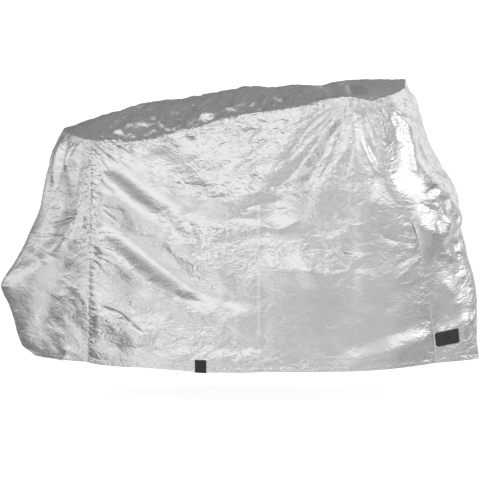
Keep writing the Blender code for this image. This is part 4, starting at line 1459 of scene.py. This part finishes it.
def patch_cloth(colours):
    """A plain black coated patch with a fine weave and a slight shine."""
    made, tree, shader = empty_material("black_patch_cloth")
    patch = np.array(colours.patch)
    weave = placed(tree, shared_group("plain_weave", weave_group), Threads_per_metre=900.0)
    smudges = placed(tree, shared_group("smudges", smudge_group), Scale=6.0)
    tone = ramp(tree, smudges.outputs["Tone"], (0.35, 0.0), (0.70, 1.0))
    colour = mix_colours(tree, tone, tuple(patch), tuple(patch * PATCH_SMUDGED))
    tree.links.new(colour, shader.inputs["Base Color"])
    rough = math_node(tree, "MULTIPLY_ADD", smudges.outputs["Tone"], 0.2, 0.5)
    tree.links.new(rough, shader.inputs["Roughness"])
    bumped(tree, shader, weave.outputs["Height"], strength=0.5, distance=0.0002)
    return made


def thread(name, colour):
    """Spun sewing thread: a slight twist and a soft shine."""
    made, tree, shader = empty_material(name)
    colour = np.array(colour)
    smudges = placed(tree, shared_group("smudges", smudge_group), Scale=60.0)
    tone = ramp(tree, smudges.outputs["Tone"], (0.35, 0.0), (0.65, 1.0))
    colour = mix_colours(tree, tone, tuple(colour * THREAD_DULL), tuple(colour))
    tree.links.new(colour, shader.inputs["Base Color"])
    shader.inputs["Roughness"].default_value = 0.55
    shader.inputs["Sheen Weight"].default_value = 0.2
    bumped(tree, shader, smudges.outputs["Tone"], strength=0.3, distance=0.0002)
    return made


def shared_material(name, build):
    """A material that is built once and then found by its name."""
    return bpy.data.materials.get(name) or build()


# The cut cloth: each sheet is worked out once for all the pieces and kept here by its name

CUT = {}


def cut_cloth(scene, sheet):
    """A sheet as a grid of places above the ground, before it is sewn, and how crumpled it is at each."""
    if not CUT:
        sizes = scene.cover_sizes
        CUT["strip"], seams, parts = dress_strip(sizes)
        CUT["near"] = dress_panel(-1, seams[0], parts, sizes)
        CUT["far"] = dress_panel(1, seams[1], parts, sizes)
    return CUT[sheet]


def surface(points):
    """A sheet's surface, to find the places of what is sewn to it."""
    columns, rows = points.shape[:2]
    cells = grid_faces(columns, rows, True)
    return BVHTree.FromPolygons(points.reshape(-1, 3).tolist(), cells.tolist())


def flat_size(points):
    """The width, length and area of a grid of points as it was cut."""
    wide = away_from(points, 0)[-1].max()
    high = away_from(points, 1)[:, -1].max()
    across = np.cross(points[1:, :-1] - points[:-1, :-1], points[:-1, 1:] - points[:-1, :-1])
    return (float(wide), float(high)), float(np.linalg.norm(across, axis=-1).sum())


# What is sewn on


def smoothed(points, times):
    """A grid of points with its small unevenness averaged out."""
    for _ in range(times):
        inner = points[1:-1, 1:-1]
        around = points[:-2, 1:-1] + points[2:, 1:-1] + points[1:-1, :-2] + points[1:-1, 2:]
        points = points.copy()
        points[1:-1, 1:-1] = 0.5 * inner + 0.125 * around
    return points


def tab_grid(panel, sizes):
    """Webbing folded round the hem: places by place across, and from the outer leg under to the inner."""
    bottom = panel[:, 0, 0]
    columns = np.flatnonzero(np.abs(bottom - TAB_X) <= TAB_WIDTH / 2.0 + TAB_MARGIN)
    high = away_from(panel, 1).mean(axis=0)
    rows = np.flatnonzero(high <= sizes.tab_leg + TAB_MARGIN)
    part = smoothed(panel[np.ix_(columns, rows)], TAB_SMOOTHED)
    out = normals(panel)[np.ix_(columns, rows)].mean(axis=(0, 1))
    out /= np.linalg.norm(out)
    levels = sizes.tab_leg * np.linspace(1.0, 0.0, TAB_LEG_ROWS)
    across = np.linspace(TAB_X - TAB_WIDTH / 2.0, TAB_X + TAB_WIDTH / 2.0, TAB_COLUMNS)
    angles = np.linspace(0.0, math.pi, TAB_BEND_ROWS + 2)[1:-1]
    radius = TAB_STAND_OFF + sizes.tab_thickness / 2.0
    bend = radius + 0.5 * HEM_LAYER
    grid = []
    for x in across:
        column = np.array([read_line(row, row[:, 0], [x])[0] for row in part.transpose(1, 0, 2)])
        leg = read_line(column, high[rows], levels)
        outer = leg + radius * out
        inner = leg - (radius + HEM_LAYER) * out
        middle = leg[-1] - 0.5 * HEM_LAYER * out
        turn = [middle + bend * (math.cos(a) * out - math.sin(a) * UPWARDS) for a in angles]
        grid.append(np.concatenate((outer, turn, inner[::-1])))
    return np.array(grid), out


def thick_sheet(name, points, thickness, finish):
    """A sheet with a real thickness and softly rounded edges."""
    piece = sheet_object(name, points, finish)
    shell = piece.modifiers.new("Thickness", "SOLIDIFY")
    shell.thickness = thickness
    shell.offset = 0.0
    edge = piece.modifiers.new("Rounded edges", "BEVEL")
    edge.width = thickness * SHEET_ROUNDED
    edge.segments = 2
    edge.limit_method = "ANGLE"
    return piece


def patch_grid(strip, sizes):
    """A plain patch on the strip, tilted, three corners cut off: its places and its outward normals."""
    tree = surface(strip)
    wide = np.linspace(-0.5, 0.5, PATCH_COLUMNS) * sizes.patch_width
    high = np.linspace(-0.5, 0.5, PATCH_ROWS) * sizes.patch_height
    a, b = np.meshgrid(wide, high, indexing="ij")
    for right, top in PATCH_CLIPPED:
        over = right * a / sizes.patch_width + top * b / sizes.patch_height
        limit = 1.0 - PATCH_CLIP / (sizes.patch_width + sizes.patch_height)
        inwards = np.minimum(1.0, limit / np.maximum(over, 1e-9))
        scale = np.where((right * a > 0) & (top * b > 0), inwards, 1.0)
        blend = np.clip(over * 2.0 - 1.0, 0.0, 1.0)
        a, b = a * (1 - blend + blend * scale), b * (1 - blend + blend * scale)
    x = PATCH_CENTRE[0] + a * math.cos(PATCH_TILT) - b * math.sin(PATCH_TILT)
    height = PATCH_CENTRE[1] + a * math.sin(PATCH_TILT) + b * math.cos(PATCH_TILT)
    points = np.zeros((*a.shape, 3))
    for place in np.ndindex(a.shape):
        found = tree.ray_cast(Vector((x[place], FAR_IN_FRONT, height[place])), Vector((0.0, 1.0, 0.0)))[0]
        if found is None:
            raise RuntimeError("the patch misses the strip")
        points[place] = found
    points[..., 1] = evened(points[..., 1], PATCH_EVENED)
    out = normals(points)
    return points + (PATCH_STAND_OFF + PATCH_THICKNESS / 2.0) * out, out


def evened(values, times):
    """A grid of numbers with its small unevenness averaged out, its edges too."""
    for _ in range(times):
        padded = np.pad(values, 1, mode="reflect", reflect_type="odd")
        around = padded[:-2, 1:-1] + padded[2:, 1:-1] + padded[1:-1, :-2] + padded[1:-1, 2:]
        values = 0.5 * values + 0.125 * around
    return values


# The stage


def direction(azimuth, elevation):
    """A direction by its azimuth from the front towards the right and its elevation, in radians."""
    level = math.cos(elevation)
    return math.sin(azimuth) * level, -math.cos(azimuth) * level, math.sin(elevation)


def share_between(tree, value, low, high):
    """0 to 1 as a value goes from low to high, with a level start and end."""
    made = node(tree, "ShaderNodeMapRange", {"interpolation_type": "SMOOTHSTEP"}, Value=value)
    made.inputs["From Min"].default_value = low
    made.inputs["From Max"].default_value = high
    return made.outputs[0]


def uneven(tree, way, scale, stops):
    """Uneven brightness by the direction, as a share of the light."""
    noise = node(tree, "ShaderNodeTexNoise", None, Vector=way, Scale=scale, Detail=1.0, Roughness=0.5)
    return ramp(tree, noise.outputs["Fac"], *stops)


def make_floor(scene):
    """A wide, plain, pale floor under the cover."""
    half = FLOOR_SIDE / 2.0
    mesh = bpy.data.meshes.new("floor")
    corners = [(-half, -half, 0.0), (half, -half, 0.0), (half, half, 0.0), (-half, half, 0.0)]
    mesh.from_pydata(corners, [], [(0, 1, 2, 3)])
    floor = bpy.data.objects.new("floor", mesh)
    floor.location.z = -MOUNT_HEIGHT
    scene.collection.objects.link(floor)
    made, tree, shader = empty_material("pale_floor")
    seen = node(tree, "ShaderNodeLightPath").outputs["Is Camera Ray"]
    shader.inputs["Base Color"].default_value = (FLOOR_GREY, FLOOR_GREY, FLOOR_GREY, 1.0)
    shader.inputs["Roughness"].default_value = 1.0
    shader.inputs["Specular IOR Level"].default_value = 0.0
    shader.inputs["Emission Color"].default_value = (1.0, 1.0, 1.0, 1.0)
    glow = math_node(tree, "MULTIPLY_ADD", seen, FLOOR_GLOW_SEEN - FLOOR_GLOW, FLOOR_GLOW)
    tree.links.new(glow, shader.inputs["Emission Strength"])
    mesh.materials.append(made)
    floor.visible_glossy = False


def make_world(scene):
    """A studio that is brightest at eye level in front, with glows, shades and uneven things in it."""
    world = bpy.data.worlds.new("studio")
    world.use_nodes = True
    tree = world.node_tree
    tree.nodes.clear()
    way = node(tree, "ShaderNodeTexCoord").outputs["Generated"]
    split = node(tree, "ShaderNodeSeparateXYZ", None, Vector=way)
    height = math_node(tree, "MULTIPLY_ADD", split.outputs["Z"], 0.5, 0.5)
    walls = []
    for profile in (STUDIO_FRONT, STUDIO_SIDES, STUDIO_BACK):
        walls.append(ramp(tree, height, *(((z + 1.0) / 2.0, bright) for z, bright in profile)))
    light = walls[0]
    for wall, reach in ((walls[1], FRONT_TO_SIDES), (walls[2], SIDES_TO_BACK)):
        light = mix_colours(tree, share_between(tree, split.outputs["Y"], *reach), light, wall)
    for glow in GLOWS:
        centre = direction(math.radians(glow.azimuth), math.radians(glow.elevation))
        toward = node(tree, "ShaderNodeVectorMath", {"operation": "DOT_PRODUCT"}, _0=way, _1=centre)
        facing = math_node(tree, "MAXIMUM", toward.outputs["Value"], 0.0)
        lobe = math_node(tree, "POWER", facing, glow.narrow)
        light = math_node(tree, "MULTIPLY_ADD", lobe, glow.strength, light)
    light = math_node(tree, "MULTIPLY", light, uneven(tree, way, THINGS_SCALE, STUDIO_THINGS))
    hung = math_node(tree, "MULTIPLY", light, uneven(tree, way, OVERHEAD_SCALE, STUDIO_OVERHEAD))
    overhead = share_between(tree, split.outputs["Z"], *OVERHEAD_FROM)
    light = mix_colours(tree, overhead, light, hung)
    seen = node(tree, "ShaderNodeLightPath").outputs["Is Camera Ray"]
    light = math_node(tree, "MAXIMUM", math_node(tree, "MAXIMUM", light, DARKEST), seen)
    shader = node(tree, "ShaderNodeBackground", None, Strength=light)
    out = node(tree, "ShaderNodeOutputWorld")
    tree.links.new(shader.outputs[0], out.inputs["Surface"])
    scene.world = world


def make_lights(scene):
    """A very soft overhead light for the floor and the matt parts."""
    lamp = bpy.data.lights.new("overhead", "SUN")
    lamp.energy = OVERHEAD_LIGHT
    lamp.angle = OVERHEAD_WIDTH
    overhead = bpy.data.objects.new("overhead", lamp)
    overhead.rotation_euler = OVERHEAD_TURN
    overhead.visible_glossy = False
    scene.collection.objects.link(overhead)


def make_camera(scene):
    """A long lens a little above the cover's middle, almost square on to its near side."""
    back = Vector(direction(CAMERA_AZIMUTH, CAMERA_ELEVATION))
    lens = bpy.data.cameras.new("camera")
    lens.sensor_width = SENSOR
    lens.lens = LENS
    lens.clip_end = CAMERA_SEES
    camera = bpy.data.objects.new("camera", lens)
    camera.location = Vector(CAMERA_TARGET) + CAMERA_DISTANCE * back
    camera.rotation_euler = back.to_track_quat("Z", "Y").to_euler()
    scene.collection.objects.link(camera)
    scene.camera = camera


# Operators


def silver(scene):
    """The material of the three sheets."""
    return shared_material("silver_coated_cloth", lambda: silver_cloth(scene.cover_colours))


def declare_sheet(points, node_name):
    """Works out a sheet's flat size and area, and hides the solid that it stands for."""
    flat, area = flat_size(points)
    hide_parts(node_name)


class COVER_OT_gusset_strip(bpy.types.Operator):
    """Builds the gusset strip, from the rear hem over the top to the front hem"""

    bl_idname = "cover.gusset_strip"
    bl_label = "Gusset Strip"
    bl_options = {"REGISTER", "UNDO"}

    def execute(self, context):
        scene = context.scene
        grid, crumpled = cut_cloth(scene, "strip")
        strip = sewn_strip(grid, scene.cover_sizes)
        piece = sheet_object("gusset_strip_cloth", strip, silver(scene), crumpled)
        declare_sheet(strip, "gusset_strip")
        return {"FINISHED"}


class COVER_OT_side_panels(bpy.types.Operator):
    """Builds the two side panels, each on its seam with the strip"""

    bl_idname = "cover.side_panels"
    bl_label = "Side Panels"
    bl_options = {"REGISTER", "UNDO"}

    def execute(self, context):
        scene = context.scene
        for side in ("near", "far"):
            grid, crumpled = cut_cloth(scene, side)
            panel = sewn_panel(grid, scene.cover_sizes)
            piece = sheet_object(f"side_panel_{side}_cloth", panel, silver(scene), crumpled)
            declare_sheet(panel, f"side_panel_{side}")
        return {"FINISHED"}


class COVER_OT_hem_stitches(bpy.types.Operator):
    """Sews the hem's stitch line round the cover"""

    bl_idname = "cover.hem_stitches"
    bl_label = "Hem Stitches"
    bl_options = {"REGISTER", "UNDO"}

    def execute(self, context):
        scene = context.scene
        sizes = scene.cover_sizes
        finish = shared_material("grey_thread", lambda: thread("grey_thread", scene.cover_colours.thread))
        near, far, strip = (cut_cloth(scene, sheet)[0] for sheet in ("near", "far", "strip"))
        strip = strip.transpose(1, 0, 2)
        lines = []
        for grid in (near, far, strip, strip[:, ::-1]):
            row = int(np.abs(away_from(grid, 1).mean(axis=0) - sizes.hem_depth).argmin())
            out = normals(grid)[:, row]
            lines.append((grid[:, row] + STITCH_STAND_OFF * out, out))
        piece = stitches("hem_stitches", lines, sizes.stitch_pitch, THREAD_RADIUS, finish)
        return {"FINISHED"}


class COVER_OT_strap_tabs(bpy.types.Operator):
    """Folds a webbing tab round the hem on each side and sews it on"""

    bl_idname = "cover.strap_tabs"
    bl_label = "Strap Tabs"
    bl_options = {"REGISTER", "UNDO"}

    def execute(self, context):
        scene = context.scene
        sizes = scene.cover_sizes
        webbing = shared_material("black_webbing", lambda: black_webbing(scene.cover_colours))
        black = shared_material("black_thread", lambda: thread("black_thread", TAB_THREAD))
        top, bottom = TAB_SEWN_ROWS
        left, right = TAB_SEWN_COLUMNS
        for side in ("near", "far"):
            grid, out = tab_grid(cut_cloth(scene, side)[0], sizes)
            piece = thick_sheet(f"strap_tab_{side}_webbing", grid, sizes.tab_thickness, webbing)
            outer = grid[:, :TAB_LEG_ROWS] + (sizes.tab_thickness / 2.0 + THREAD_RADIUS * THREAD_OUT) * out
            ways = np.broadcast_to(out, outer.shape)
            lines = [(outer[left : right + 1, row], ways[left : right + 1, row]) for row in TAB_SEWN_ROWS]
            for column in TAB_SEWN_COLUMNS:
                lines.append((outer[column, top : bottom + 1], ways[column, top : bottom + 1]))
            sewn = stitches(f"strap_tab_{side}_stitches", lines, sizes.stitch_pitch, THREAD_RADIUS, black)
            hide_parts(f"strap_tab_{side}")
            size, _ = flat_size(grid)
        return {"FINISHED"}


class COVER_OT_label_patch(bpy.types.Operator):
    """Sews the plain black patch on the lower front corner"""

    bl_idname = "cover.label_patch"
    bl_label = "Label Patch"
    bl_options = {"REGISTER", "UNDO"}

    def execute(self, context):
        scene = context.scene
        sizes = scene.cover_sizes
        cloth = shared_material("black_patch_cloth", lambda: patch_cloth(scene.cover_colours))
        dark = shared_material("dark_thread", lambda: thread("dark_thread", PATCH_THREAD))
        grid, out = patch_grid(cut_cloth(scene, "strip")[0], sizes)
        piece = thick_sheet("label_patch_cloth", grid, PATCH_THICKNESS, cloth)
        raised = grid + (PATCH_THICKNESS / 2.0 + THREAD_RADIUS * THREAD_OUT) * out
        inside, ends = slice(PATCH_SEWN, -PATCH_SEWN), (PATCH_SEWN, -PATCH_SEWN - 1)
        edge = [(raised[inside, row], out[inside, row]) for row in ends]
        edge += [(raised[column, inside], out[column, inside]) for column in ends]
        radius = THREAD_RADIUS * PATCH_STITCHES
        sewn = stitches("label_patch_stitches", edge, sizes.stitch_pitch, radius, dark)
        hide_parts("label_patch")
        size, area = flat_size(grid)
        return {"FINISHED"}


class COVER_OT_stage(bpy.types.Operator):
    """Sets up the pale floor, the soft studio light and the camera"""

    bl_idname = "cover.stage"
    bl_label = "Stage"
    bl_options = {"REGISTER", "UNDO"}

    def execute(self, context):
        scene = context.scene
        make_floor(scene)
        make_world(scene)
        make_lights(scene)
        make_camera(scene)
        scene.view_settings.view_transform = "Standard"
        scene.view_settings.look = "None"
        return {"FINISHED"}


class COVER_PT_pieces(bpy.types.Panel):
    """Lists the cover's sizes, colours and pieces"""

    bl_idname = "COVER_PT_pieces"
    bl_label = "Bicycle Cover"
    bl_space_type = "VIEW_3D"
    bl_region_type = "UI"
    bl_category = "Cover"

    def draw(self, context):
        for settings in (context.scene.cover_sizes, context.scene.cover_colours):
            box = self.layout.box()
            for name in settings.__annotations__:
                box.prop(settings, name)
        for operator in OPERATORS:
            self.layout.operator(operator.bl_idname)


SETTINGS = (CoverSizes, CoverColours)
OPERATORS = (
    COVER_OT_gusset_strip,
    COVER_OT_side_panels,
    COVER_OT_hem_stitches,
    COVER_OT_strap_tabs,
    COVER_OT_label_patch,
    COVER_OT_stage,
)


def register():
    """Registers the settings, the operators and the panel."""
    for kind in (*SETTINGS, *OPERATORS, COVER_PT_pieces):
        bpy.utils.register_class(kind)
    bpy.types.Scene.cover_sizes = PointerProperty(type=CoverSizes)
    bpy.types.Scene.cover_colours = PointerProperty(type=CoverColours)


def unregister():
    """Takes away all that register() made."""
    del bpy.types.Scene.cover_sizes
    del bpy.types.Scene.cover_colours
    for kind in reversed((*SETTINGS, *OPERATORS, COVER_PT_pieces)):
        bpy.utils.unregister_class(kind)


def main():
    """Builds the cover and its stage."""
    register()
    bpy.ops.cover.gusset_strip()
    bpy.ops.cover.side_panels()
    bpy.ops.cover.hem_stitches()
    bpy.ops.cover.strap_tabs()
    bpy.ops.cover.label_patch()
    bpy.ops.cover.stage()
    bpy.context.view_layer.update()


if __name__ == "__main__":
    main()
